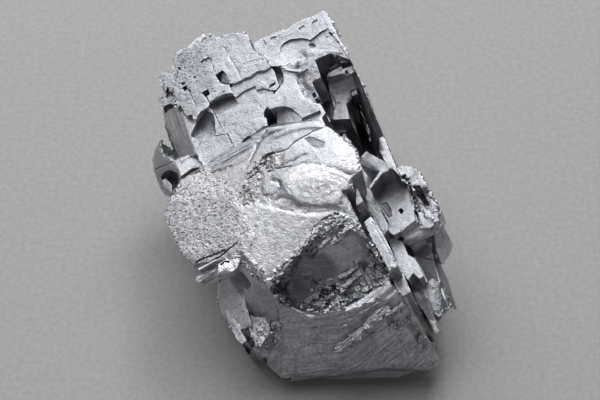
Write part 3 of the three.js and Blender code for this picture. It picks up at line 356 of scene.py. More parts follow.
    ("crack", "d_spike_slit_2", -2.2, -5.2, -0.2, [(-18.33, -13.45), (-18.04, -13.18), (-17.5, -13.01), (-17.07, -12.66), (-16.73, -12.28), (-16.25, -12.04), (-15.89, -11.76), (-15.44, -11.47), (-14.93, -11.28), (-14.5, -10.9), (-14.01, -10.62), (-13.58, -10.32), (-13.15, -9.9), (-12.7, -9.65), (-12.23, -9.42), (-11.9, -9.05), (-11.45, -8.76), (-11.56, -8.61), (-12, -8.93), (-12.37, -9.22), (-12.81, -9.44), (-13.3, -9.7), (-13.77, -10.09), (-14.16, -10.39), (-14.65, -10.69), (-15.06, -11.07), (-15.54, -11.21), (-16.11, -11.37), (-16.48, -11.64), (-17.03, -11.88), (-17.4, -12.3), (-17.77, -12.54), (-18.24, -12.82), (-18.62, -13.07)], 0),
    ("crack", "d_spike_slit_3", -3.2, -5.2, -2.2, [(-19.66, -14.69), (-19.25, -14.46), (-18.68, -14.22), (-18.25, -13.9), (-17.7, -13.68), (-17.37, -13.44), (-16.9, -13.32), (-16.35, -13.02), (-16.42, -12.88), (-16.97, -13.13), (-17.45, -13.26), (-17.81, -13.46), (-18.36, -13.69), (-18.78, -14.01), (-19.4, -14.13), (-19.81, -14.49)], 0),
]

# broken edges: name, level, spacing, size and depth (mm), sighted line ------
NICKS = [
    ("d_right_rim", 0.4, 0.286, 0.25, 0.9, 0.3, 0.9, [(4.19, 14.86), (5.71, 13.9), (7.05, 12.76), (8.57, 11.43), (10.1, 10.29), (11.05, 8.95), (11.43, 7.24), (11.24, 5.33), (11.05, 4.57), (9.9, 4), (10.1, 2.29), (8.57, 1.33)]),
    ("d_right_rim_2", -0.2, 0.305, 0.2, 0.8, 0.25, 0.8, [(8.57, 1.33), (9.52, -0.57), (10.48, -2.29), (10.86, -3.24), (11.62, -4.76)]),
    ("d_left_rim", -2.2, 0.457, 0.2, 0.7, 0.2, 0.6, [(-18.29, 5.33), (-20.95, 4.76), (-22.67, 3.81), (-23.62, 1.9), (-25.14, -0.38), (-25.9, -2.86), (-24.38, -6.1), (-22.86, -9.9), (-20.38, -12.19)]),
    ("d_scoop_rim", 0.3, 0.248, 0.25, 1, 0.3, 1, [(11.62, -4.76), (8.95, -3.43), (6.29, -2.48), (4.57, -3.62), (2.86, -4.95), (1.33, -7.24), (-0.19, -9.14), (-1.9, -10.67), (-3.43, -12), (-5.71, -14.48)]),
    ("d_splinter", -2.9, 0.419, 0.2, 0.6, 0.2, 0.5, [(-20.38, -12.57), (-18.48, -11.62), (-16.76, -11.24), (-13.71, -10.29)]),
    ("b_edge", -2.4, 0.952, 0.15, 0.45, 0.15, 0.5, [(4.57, 36.19), (5.33, 35.62), (6.1, 33.9), (7.05, 32), (8, 30.1), (8.57, 29.14), (9.33, 27.24)]),
    ("b_top", -2, 0.571, 0.15, 0.45, 0.15, 0.4, [(-7.24, 30.86), (-4.76, 32), (-2.29, 32.95), (0, 34.29), (1.52, 34.86), (3.43, 35.62), (4.57, 36.19)]),
    ("a_top", -2, 0.495, 0.15, 0.5, 0.15, 0.4, [(-23.24, 28.19), (-20.95, 28.76), (-19.24, 29.33), (-18.48, 31.05), (-17.14, 31.62), (-15.24, 31.43), (-11.43, 32), (-9.71, 31.43), (-9.52, 30.1), (-7.62, 27.62), (-5.71, 25.52)]),
    ("a_left", -2, 0.419, 0.2, 0.6, 0.2, 0.6, [(-23.24, 28.19), (-23.43, 24.95), (-23.62, 23.24), (-24.38, 21.33), (-23.62, 17.71), (-21.71, 16), (-20, 15.05)]),
    ("wall_top", -3.4, 0.8, 0.15, 0.45, 0.2, 0.7, [(10.29, 25.33), (11.62, 22.48), (12.95, 19.43), (14.29, 16.57), (15.43, 13.71)]),
    ("e_ridge", -1.7, 0.61, 0.15, 0.4, 0.15, 0.4, [(12.19, -4.19), (13.71, -7.62), (15.24, -10.29), (16.95, -13.33)]),
    ("g_right", -12, 0.419, 0.3, 0.9, 0.3, 0.9, [(26.67, -4), (27.81, -5.9), (28.57, -7.62), (29.14, -9.14)]),
    ("f_right", -11.2, 0.381, 0.3, 0.9, 0.4, 1.2, [(23.62, 4.57), (24.76, 2.29), (26.67, -1.14), (26.67, -3.62)]),
    ("f_ridge", -10.9, 0.343, 0.3, 0.9, 0.4, 1.2, [(19.62, 3.81), (20.95, 3.05), (21.52, 0.76), (22.29, -1.14), (22.1, -2.67), (22.86, -4.57)]),
]

# features laid on whatever face is sighted there: kind, name, two amounts (mm), sighted outline ------
LAID = [
    ("fill", "w_left_flank", 5, 0, [(-2.67, -22.86, -1.9, -23.05, -0.06), (-2.48, -27.62, -1.71, -27.62, -0.06), (-1.9, -33.98, -1.33, -32.95, -0.1), (-3.43, -33.9, -1.33, -32.76, -1), (-4.95, -32.57, -1.52, -32, -1.9), (-6.48, -31.24, -1.52, -31.24, -2.8), (-8, -29.14, -1.52, -29.14, -3.9), (-9.33, -26.86, -1.52, -26.86, -4.6), (-7.05, -23.81, -1.9, -24.19, -2.9)]),
    ("fill", "w_under_splinter", 4, 0, [(-11.24, -9.71, -10.29, -9.52, -0.1), (-8.38, -12.19, -8.38, -11.24, -0.1), (-6.48, -14.48, -6.48, -13.33, -0.12), (-7.05, -17.14, -7.05, -17.9, 0.12), (-9.52, -16.57, -9.52, -17.71, 0.15), (-11.81, -14.48, -11.43, -17.14, 0.15), (-12.38, -12, -10.29, -10.67, -1.4)]),
    ("patch", "h1_floor", 1.6, (-0.76, 18.67), [(-4.29, 17.43, -2.2), (-2.29, 18, -1.3), (-0.38, 17.26, -0.5), (0.48, 15.81, -0.35), (0.19, 14.67, -0.5), (-2.29, 14.1, -1.3), (-4.38, 13.9, -2.4)]),
    ("patch", "f_niche", 1.2, (18.48, -0.57), [(15.35, -0.57, -0.35), (16.57, -0.3, -0.6), (17.45, -1.52, -1.2), (17.71, -3.24, -1.2), (16.76, -3.62, -0.7), (15.54, -1.9, -0.3)]),
    ("patch", "l_facet", 1.6, (-27.05, 6.48), [(-26.86, 3.43, -0.35), (-25.52, 4.19, -1.1), (-24.38, 2.86, -1.5), (-24.5, 1.6, -1.1), (-25.64, 0.76, -0.5), (-26.59, 2.1, -0.3)]),
    ("patch", "a_ramp_1", 1, (-10.29, 20.19), [(-13.05, 21.56, 0.5), (-10.86, 22.1, 0.5), (-9.14, 23.09, 0.5), (-7.24, 23.92, 0.5), (-5.45, 24.57, 0.5), (-4.76, 23.52, 0), (-7.24, 22.55, 0), (-9.52, 21.52, 0), (-11.81, 20.46, 0)]),
    ("patch", "p1_floor", 1.2, (-12.19, 24.38), [(-15.16, 23.81, -1.3), (-14.1, 24.38, -0.7), (-13.07, 22.93, -0.45), (-13.33, 22.1, -0.4), (-14.78, 22.48, -1.2)]),
    ("patch", "corner_low", 4, (22.48, -28.95), [(22.78, -25.9, 1), (23.81, -26.29, 1.15), (25.45, -27.92, 0.7), (26.59, -30.4, -0.4), (26.4, -31.62, -0.6), (24, -32.57, -0.4), (22.1, -32.38, -0.1), (21.71, -28.57, -0.05)]),
    ("patch", "d_wall", 2.4, (9.52, 13.33), [(4.95, 15.28, 0.3), (8.76, 15.5, 0.3), (9.9, 13.33, 0.1), (11.24, 10.48, 0.1), (9.9, 10.29, 0.1), (8.38, 11.62, 0.3), (6.86, 12.84, 0.3), (5.52, 14.1, 0.3)]),
    ("trim", "t_low_left", 0, 0, [(-14.29, -24.76), (-13.14, -26.29), (-11.14, -27.81), (-9.62, -29.81), (-8, -30.29), (-6.48, -31.39), (-4.95, -32.76), (-3.14, -34.19), (-3.24, -37.9), (-14.29, -37.9)]),
    ("trim", "t_low_left_2", 0, 0, [(-18.1, -17.14), (-15.7, -16.76), (-15.43, -19.62), (-14.86, -21.71), (-13.33, -24), (-12, -26.67), (-14.29, -27.62), (-18.1, -24.76)]),
    ("step", "s_lip", 0.35, 2, [(8.57, -21.22), (11.62, -20.19), (13.9, -18.48), (17.14, -16.57), (17.33, -15.62), (15.43, -16.46), (13.71, -17.26), (11.62, -18.86), (9.9, -19.73), (8.46, -20.38)]),
    ("step", "s_bar_1", 0.55, 2, [(6.97, -14.48), (8.95, -13.33), (11.05, -12.11), (11.43, -12.76), (9.52, -13.9), (7.43, -15.12)]),
    ("step", "s_bar_2", 0.6, 2, [(7.92, -16.3), (9.9, -14.59), (11.43, -13.33), (11.96, -14.02), (10.48, -15.24), (8.76, -16.76)]),
    ("step", "s_bar_3", 0.6, 1.4, [(3.24, -21.45), (5.9, -19.73), (6.36, -20.3), (3.89, -21.98)]),
    ("step", "s_bar_4", 0.5, 1.4, [(4.19, -18.97), (6.29, -17.52), (6.67, -18.02), (4.69, -19.43)]),
    ("step", "s_bar_5", 0.5, 1.4, [(12.19, -16.76), (14.48, -15.24), (14.86, -15.81), (12.69, -17.41)]),
    ("step", "s_bar_6", 0.45, 1.4, [(9.9, -11.81), (11.81, -10.55), (12.19, -11.12), (10.4, -12.38)]),
    ("step", "s_cube_1", 0.75, 1.6, [(7.35, -16.76), (8.38, -16.19), (9.03, -17.14), (7.92, -17.79)]),
    ("step", "s_cube_2", 0.7, 1.6, [(5.83, -19.43), (7.05, -18.78), (7.7, -19.81), (6.44, -20.53)]),
    ("step", "s_cube_3", 0.6, 1.6, [(7.05, -20.19), (8.08, -19.62), (8.65, -20.57), (7.54, -21.26)]),
    ("step", "s_cube_4", 0.7, 1.6, [(14.86, -13.71), (16, -13.03), (16.69, -14.02), (15.5, -14.78)]),
    ("step", "s_cube_5", 0.6, 1.6, [(16.11, -14.48), (17.14, -13.87), (17.6, -14.67), (16.53, -15.39)]),
    ("step", "s_cube_6", 0.6, 1.6, [(12.95, -11.81), (13.83, -11.31), (14.36, -12.19), (13.45, -12.76)]),
    ("step", "s_cube_7", 0.6, 1.6, [(2.29, -15.24), (3.24, -14.67), (3.81, -15.54), (2.86, -16.15)]),
    ("step", "s_cube_8", 0.5, 1.6, [(0.57, -14.1), (1.33, -13.64), (1.83, -14.36), (1.03, -14.86)]),
    ("step", "s_rim_bar_1", 0.4, 1.2, [(6.1, -7.62), (8.57, -5.98), (10.86, -4.57), (11.24, -5.14), (8.95, -6.59), (6.67, -8.19)]),
    ("step", "s_rim_bar_2", 0.35, 1.2, [(7.24, -6.29), (9.33, -4.84), (10.67, -4), (10.97, -4.46), (9.71, -5.33), (7.62, -6.78)]),
    ("step", "s_rim_bar_3", 0.35, 1.2, [(3.43, -8.76), (5.33, -6.86), (6.29, -5.33), (6.74, -5.71), (5.9, -7.31), (4, -9.26)]),
    ("step", "s_rim_bar_4", 0.35, 1.2, [(1.52, -10.29), (3.43, -8.19), (4, -8.65), (2.17, -10.74)]),
    ("well", "s_cavity", 2.4, 2, [(8.46, -20.76), (8.76, -19.05), (10.1, -18.02), (11.92, -18.29), (11.62, -19.43), (9.9, -20.27)]),
    ("well", "s_cavity_2", 1.6, 2, [(3.43, -18.67), (4.3, -16.76), (5.45, -17.14), (5.22, -18.48)]),
    ("well", "s_cavity_3", 1.2, 2, [(5.71, -16.57), (6.86, -15.81), (7.43, -16.57), (6.36, -17.45)]),
    ("well", "s_cavity_4", 1.4, 2, [(11.81, -12.57), (12.57, -11.92), (13.14, -12.84), (12.38, -13.52)]),
    ("well", "s_cavity_5", 1.2, 2, [(13.52, -10.1), (14.29, -9.52), (15.05, -10.86), (14.36, -11.43)]),
    ("well", "s_cavity_6", 1.2, 2, [(14.67, -11.81), (15.43, -11.35), (16, -12.38), (15.31, -12.95)]),
    ("step", "p_tip", 0.25, 1, [(-19.92, -15.16), (-17.9, -13.9), (-15.81, -12.76), (-15.92, -13.6), (-17.9, -14.78), (-19.24, -15.73)]),
    ("well", "p_dark", 1.8, 2, [(-13.6, -14.55), (-12.76, -13.79), (-11.43, -13.33), (-10.29, -14.67), (-9.14, -16.3), (-10.1, -16.76)]),
    ("dig_thin", "p_groove_1", 0.35, 0.6, [(-19.58, -13.13), (-19.12, -12.82), (-18.68, -12.72), (-18.19, -12.36), (-17.65, -12.21), (-17.2, -11.83), (-16.61, -11.62), (-16.09, -11.25), (-15.6, -11.02), (-15.64, -10.92), (-16.16, -11.14), (-16.65, -11.53), (-17.25, -11.73), (-17.72, -12.07), (-18.26, -12.21), (-18.75, -12.57), (-19.2, -12.66), (-19.66, -13.01)]),
    ("dig_thin", "p_groove_2", 0.35, 0.6, [(-17.87, -15.79), (-17.38, -15.57), (-16.93, -15.24), (-16.43, -15.01), (-15.93, -14.81), (-15.44, -14.46), (-15.04, -14.32), (-14.56, -14.05), (-14.08, -13.75), (-14.11, -13.68), (-14.62, -13.96), (-15.1, -14.21), (-15.49, -14.36), (-16, -14.67), (-16.5, -14.86), (-17.01, -15.11), (-17.46, -15.43), (-17.94, -15.67)]),
    ("dig", "f_strip", 0.12, 0.6, [(18.78, -22.59), (20, -21.64), (21.9, -24.38), (24.76, -27.92), (23.62, -28.95), (21.14, -25.71)]),
    ("dig", "f_square_1", 0.5, 0.6, [(20.08, -22.21), (20.88, -21.79), (21.37, -22.55), (20.57, -23.01)]),
    ("dig", "f_square_2", 0.28, 0.6, [(21.9, -25.83), (22.59, -25.49), (22.93, -26.06), (22.25, -26.44)]),
    ("dig", "f_square_3", 0.26, 0.6, [(22.86, -28.08), (23.39, -27.73), (23.73, -28.19), (23.2, -28.57)]),
    ("dig", "f_square_4", 0.26, 0.6, [(24.19, -27.5), (24.57, -27.28), (24.84, -27.66), (24.46, -27.92)]),
    ("raise_thin", "f_edge_line", 0.18, 0.8, [(19.71, -19.12), (20.05, -19.6), (20.41, -20.02), (20.69, -20.51), (21.02, -21.01), (21.32, -21.47), (21.65, -21.94), (21.98, -22.41), (22.25, -22.85), (22.49, -23.39), (22.82, -23.83), (23.13, -24.31), (23.41, -24.77), (23.75, -25.21), (24.04, -25.65), (24.33, -26.07), (24.61, -26.46), (24.96, -26.92), (25.27, -27.34), (25.57, -27.83), (25.84, -28.23), (25.97, -28.15), (25.69, -27.75), (25.4, -27.26), (25.08, -26.84), (24.76, -26.36), (24.47, -25.98), (24.21, -25.54), (23.91, -25.09), (23.56, -24.66), (23.3, -24.2), (22.97, -23.73), (22.69, -23.27), (22.38, -22.78), (22.11, -22.32), (21.78, -21.85), (21.47, -21.36), (21.16, -20.91), (20.84, -20.42), (20.55, -19.93), (20.26, -19.45), (19.91, -18.98)]),
    ("dig_thin", "f_line_1", 0.25, 0.6, [(18.77, -26.53), (19.09, -27.06), (19.49, -27.51), (19.9, -27.96), (20.06, -28.52), (20.49, -29.2), (20.7, -29.74), (20.82, -29.69), (20.6, -29.14), (20.17, -28.47), (20.06, -27.87), (19.59, -27.42), (19.27, -26.94), (18.95, -26.42)]),
    ("dig_thin", "f_line_2", 0.2, 0.6, [(0.9, -28.09), (1.58, -27.72), (2.11, -27.34), (2.57, -27.46), (3.19, -27.3), (3.63, -27.21), (3.61, -27.11), (3.17, -27.18), (2.56, -27.29), (2.07, -27.21), (1.48, -27.55), (0.81, -27.91)]),
    ("dig_thin", "l_line", 0.4, 0.6, [(-27.46, 5.81), (-27, 6.03), (-26.49, 6.22), (-26.15, 6.46), (-25.5, 6.65), (-24.98, 6.87), (-24.53, 7.14), (-24.09, 7.29), (-24.14, 7.42), (-24.59, 7.28), (-25.06, 7.03), (-25.55, 6.8), (-26.2, 6.59), (-26.58, 6.39), (-27.06, 6.18), (-27.54, 6)]),
    ("trim", "t_low_1", 0, 0, [(-2.29, -36.57), (-2.1, -35.12), (-0.57, -34.67), (0.57, -34.21), (2.67, -34.02), (4.19, -33.71), (5.71, -34.21), (7.05, -34.55), (8.57, -34.1), (9.9, -34.59), (11.81, -34.4), (13.14, -33.79), (14.29, -34.02), (16, -33.9), (18.29, -34.17), (20.57, -33.87), (22.67, -33.33), (24.38, -32.57), (25.9, -32), (26.86, -30.67), (27.81, -29.9), (27.81, -37.9), (-2.29, -37.9)]),
    ("well", "l_pocket", 1.6, 2, [(-26.1, 11.43), (-25.33, 11.81), (-23.62, 8.95), (-23.43, 8), (-24.76, 8.38), (-25.9, 9.52)]),
    ("dig", "d_dent", 0.1, 0.6, [(0.86, 11.73), (1.71, 12.11), (3.05, 11.81), (4.57, 10.93), (4.11, 9.71), (2.86, 10.17), (1.64, 10.78)]),
    ("dig", "q_1", 1.2, 0.6, [(-14.36, -23.73), (-13.71, -23.39), (-12.5, -25.83), (-13.07, -26.59)]),
    ("dig", "q_2", 1.4, 0.6, [(-11.35, -24.65), (-10.13, -24.27), (-8.19, -27.54), (-9.45, -28.11)]),
    ("dig", "q_3", 1.2, 0.6, [(-11.16, -27.5), (-9.98, -26.67), (-8.88, -28.95), (-9.71, -29.64)]),
    ("dig", "q_4", 0.9, 0.6, [(-7.16, -30.21), (-6.48, -29.98), (-6.02, -30.93), (-6.59, -31.12)]),
    ("tilt", "f_top_1", 1, 0, [(12.11, -21.27), (11.96, -21.03), (10.74, -21.77), (10.89, -22.02)]),
    ("tilt", "f_top_2", 1, 0, [(10.59, -22.23), (10.44, -21.98), (9.22, -22.73), (9.37, -22.97)]),
    ("tilt", "f_top_3", 1, 0, [(13.64, -20.51), (13.49, -20.27), (12.27, -21.01), (12.42, -21.26)]),
    ("tilt", "f_top_4", 1, 0, [(15.16, -19.56), (15.01, -19.31), (13.79, -20.06), (13.94, -20.3)]),
    ("tilt", "f_top_5", 1, 0, [(16.68, -18.23), (16.53, -17.98), (15.32, -18.73), (15.47, -18.97)]),
    ("tilt", "f_top_6", 1, 0, [(9.06, -23.75), (8.92, -23.51), (7.7, -24.25), (7.85, -24.49)]),
    ("ledge", "p_white", 2.2, 0, [(-15.62, -12.27), (-13.9, -11.12), (-11.43, -9.79), (-11.28, -10.86), (-12, -12.95), (-12.95, -13.6), (-14.48, -13.41), (-15.62, -13.9)]),
    ("well", "p_white_crack", 0.8, 2, [(-14.86, -12.69), (-14.02, -12), (-13.03, -12.11), (-13.22, -12.5), (-14.02, -12.38), (-14.59, -13.03)]),
    ("ledge", "p_strip_2", 1.6, 0, [(-19.43, -12.95), (-17.52, -11.96), (-16, -11.16), (-15.81, -11.43), (-17.33, -12.3), (-19.16, -13.33)]),
    ("ledge", "p_strip_3", 1.6, 0, [(-19.81, -14.59), (-18.1, -13.79), (-16.19, -12.95), (-15.81, -13.41), (-17.9, -14.36), (-19.43, -15.12)]),
    ("dig_thin", "d_crack_1", 0.34, 0.6, [(4.46, 13.84), (4.07, 13.71), (3.45, 13.45), (3.12, 13.26), (2.54, 13.18), (2.07, 12.94), (1.63, 12.68), (1.17, 12.4), (0.73, 12.29), (0.3, 11.9), (-0.17, 11.78), (-0.58, 11.45), (-1.14, 11.17), (-1.5, 10.76), (-2.01, 10.32), (-2.2, 9.91), (-2.79, 9.69), (-3.29, 9.47), (-3.97, 9.26), (-4.48, 9.22), (-5.02, 9.03), (-4.96, 8.87), (-4.44, 9.05), (-3.95, 9.14), (-3.24, 9.33), (-2.72, 9.52), (-2.12, 9.81), (-1.88, 10.22), (-1.42, 10.69), (-1.07, 11.08), (-0.51, 11.33), (-0.1, 11.65), (0.37, 11.78), (0.8, 12.16), (1.23, 12.27), (1.71, 12.55), (2.14, 12.82), (2.57, 13.07), (3.15, 13.17), (3.48, 13.38), (4.1, 13.64), (4.49, 13.74)]),
    ("tilt", "g_blob", 1.8, 0, [(25.74, -25.43), (26.5, -25.08), (25.61, -23.18), (24.85, -23.53)]),
    ("tilt", "f_ladder_1", 1.4, 0, [(17.15, -21.9), (16.79, -21.53), (15.99, -22.29), (16.35, -22.66)]),
    ("tilt", "f_ladder_2", 1.4, 0, [(17.99, -21.17), (17.63, -20.8), (16.83, -21.57), (17.19, -21.94)]),
    ("tilt", "f_ladder_3", 1.4, 0, [(18.9, -20.53), (18.54, -20.16), (17.75, -20.92), (18.1, -21.29)]),
    ("tilt", "f_ladder_4", 1.4, 0, [(19.78, -19.8), (19.42, -19.43), (18.62, -20.2), (18.98, -20.57)]),
    ("tilt", "f_ladder_5", 1.4, 0, [(17.72, -22.85), (17.36, -22.48), (16.57, -23.24), (16.92, -23.62)]),
    ("tilt", "f_ladder_6", 1.4, 0, [(18.56, -22.17), (18.2, -21.79), (17.4, -22.56), (17.76, -22.93)]),
    ("tilt", "f_ladder_7", 1.4, 0, [(19.4, -21.44), (19.04, -21.07), (18.24, -21.83), (18.6, -22.21)]),
    ("tilt", "f_ladder_8", 1.4, 0, [(20.2, -20.76), (19.84, -20.38), (19.04, -21.15), (19.4, -21.52)]),
    ("tilt", "f_streak_1", 1.4, 0, [(17.81, -23.84), (17.36, -23.49), (16.85, -24.16), (17.31, -24.51)]),
    ("tilt", "f_streak_2", 1.4, 0, [(18.58, -23.34), (18.12, -23), (17.62, -23.67), (18.07, -24.01)]),
    ("tilt", "f_streak_3", 1.4, 0, [(19.41, -23.26), (18.96, -22.92), (18.45, -23.59), (18.91, -23.94)]),
    ("tilt", "f_streak_4", 1.4, 0, [(19.98, -24.03), (19.53, -23.68), (19.02, -24.35), (19.48, -24.7)]),
    ("tilt", "f_ridge_1", 2.2, 0, [(6.36, -28.88), (7.05, -27.89), (8.76, -26.78), (9.71, -26.97), (8.84, -27.5), (9.41, -27.77), (8.19, -28.08), (8, -28.65), (6.97, -28.95)]),
    ("tilt", "f_ridge_2", 2.2, 0, [(8, -27.58), (8.57, -26.55), (10.4, -25.37), (11.35, -25.71), (10.59, -26.25), (11.16, -26.63), (9.83, -26.9), (9.79, -27.5), (8.76, -27.73)]),
    ("tilt", "f_ridge_3", 2.2, 0, [(9.71, -26.44), (10.17, -25.3), (11.89, -24.08), (12.95, -24.42), (12.19, -24.99), (13.03, -25.41), (11.54, -25.64), (11.54, -26.4), (10.48, -26.55)]),
    ("tilt", "f_patch_1", 2.6, 0, [(11.81, -24.38), (12.84, -22.67), (14.59, -21.22), (15.54, -21.56), (14.67, -22.13), (15.35, -22.59), (13.9, -23.05), (13.79, -23.92), (12.65, -24.57)]),
    ("tilt", "f_patch_2", 2.4, 0, [(13.52, -22.67), (14.67, -20.95), (16.57, -19.92), (17.41, -20.38), (16.38, -20.95), (17.07, -21.52), (15.62, -21.9), (15.5, -22.74), (14.48, -23.05)]),
    ("tilt", "g_ledge", 1.6, 0, [(21.45, -17.6), (22.67, -17.49), (23.73, -19.62), (23.96, -20.95), (23.05, -20.84), (22.1, -19.24)]),
]


# ---- fine mesh: every flat patch is filled with an even net, its edges kept sharp -----------
def triangles(me):
    me.calc_loop_triangles()
    V = np.empty(len(me.vertices) * 3)
    me.vertices.foreach_get("co", V)
    F = np.empty(len(me.loop_triangles) * 3, np.int32)
    me.loop_triangles.foreach_get("vertices", F)
    return V.reshape(-1, 3), F.reshape(-1, 3)


def clean(V, F, dist=2e-3):
    bm = bmesh.new()
    me = bpy.data.meshes.new("t")
    me.from_pydata(V.tolist(), [], F.tolist())
    bm.from_mesh(me)
    bpy.data.meshes.remove(me)
    bmesh.ops.remove_doubles(bm, verts=bm.verts, dist=dist)
    bmesh.ops.dissolve_degenerate(bm, edges=bm.edges, dist=dist)
    bmesh.ops.triangulate(bm, faces=bm.faces)
    bm.verts.index_update()
    V = np.array([v.co for v in bm.verts], float)
    F = np.array([[v.index for v in f.verts] for f in bm.faces], np.int32)
    bm.free()
    return V, F


def patches(V, F, angle=0.08):
    """A patch number for each triangle: neighbours in one plane share it."""
    A, B, C = V[F[:, 0]], V[F[:, 1]], V[F[:, 2]]
    N = np.cross(B - A, C - A)
    dbl = np.linalg.norm(N, axis=1)
    N = N / np.maximum(dbl, 1e-12)[:, None]
    E = np.sort(np.concatenate([F[:, [0, 1]], F[:, [1, 2]], F[:, [2, 0]]]), 1)
    T = np.tile(np.arange(len(F)), 3)
    L = np.linalg.norm(V[E[:, 0]] - V[E[:, 1]], axis=1)
    longest = np.maximum.reduceat(L.reshape(3, -1).T.ravel(), np.arange(0, 3 * len(F), 3))
    height = dbl / np.maximum(longest, 1e-12)
    key = E[:, 0].astype(np.int64) * len(V) + E[:, 1]
    order = np.argsort(key, kind="stable")
    k = key[order]
    same = k[1:] == k[:-1]
    i, j = T[order][:-1][same], T[order][1:][same]
    el = L[order][:-1][same]
    flat = (N[i] * N[j]).sum(1) > math.cos(math.radians(angle))
    thin_i, thin_j = height[i] < 4e-3, height[j] < 4e-3
    join = (flat & ~thin_i & ~thin_j)
    # a needle goes with the neighbour across its longest edge
    join |= thin_i & (el > .98 * longest[i]) & ~thin_j
    join |= thin_j & (el > .98 * longest[j]) & ~thin_i
    join |= thin_i & thin_j & (el > .98 * np.minimum(longest[i], longest[j]))
    parent = np.arange(len(F))

    def find(x):
        while parent[x] != x:
            parent[x] = parent[parent[x]]
            x = parent[x]
        return x

    for x, y in zip(i[join], j[join]):
        a, b = find(x), find(y)
        if a != b:
            parent[a] = b
    root = np.array([find(x) for x in range(len(F))])
    P = np.unique(root, return_inverse=True)[1]
    # a patch that is not flat after all goes back to single triangles
    n = P.max() + 1
    nor = np.stack([np.bincount(P, dbl * N[:, k], n) for k in range(3)], 1)
    nor /= np.maximum(np.linalg.norm(nor, axis=1), 1e-12)[:, None]
    cen = np.stack([np.bincount(P, V[F].mean(1)[:, k], n) for k in range(3)], 1) / np.bincount(P, minlength=n)[:, None]
    off = (((V[F] - cen[P][:, None]) * nor[P][:, None]).sum(2))
    spread = np.zeros(n)
    np.maximum.at(spread, P, off.max(1))
    low = np.zeros(n)
    np.minimum.at(low, P, off.min(1))
    turned = ((N * nor[P]).sum(1) < .9) & (height > 4e-3)
    bad = (spread - low) > .012
    bad[np.unique(P[turned])] = True
    loose = bad[P]
    P = P.copy()
    P[loose] = n + np.arange(loose.sum())
    return np.unique(P, return_inverse=True)[1], N, dbl * .5


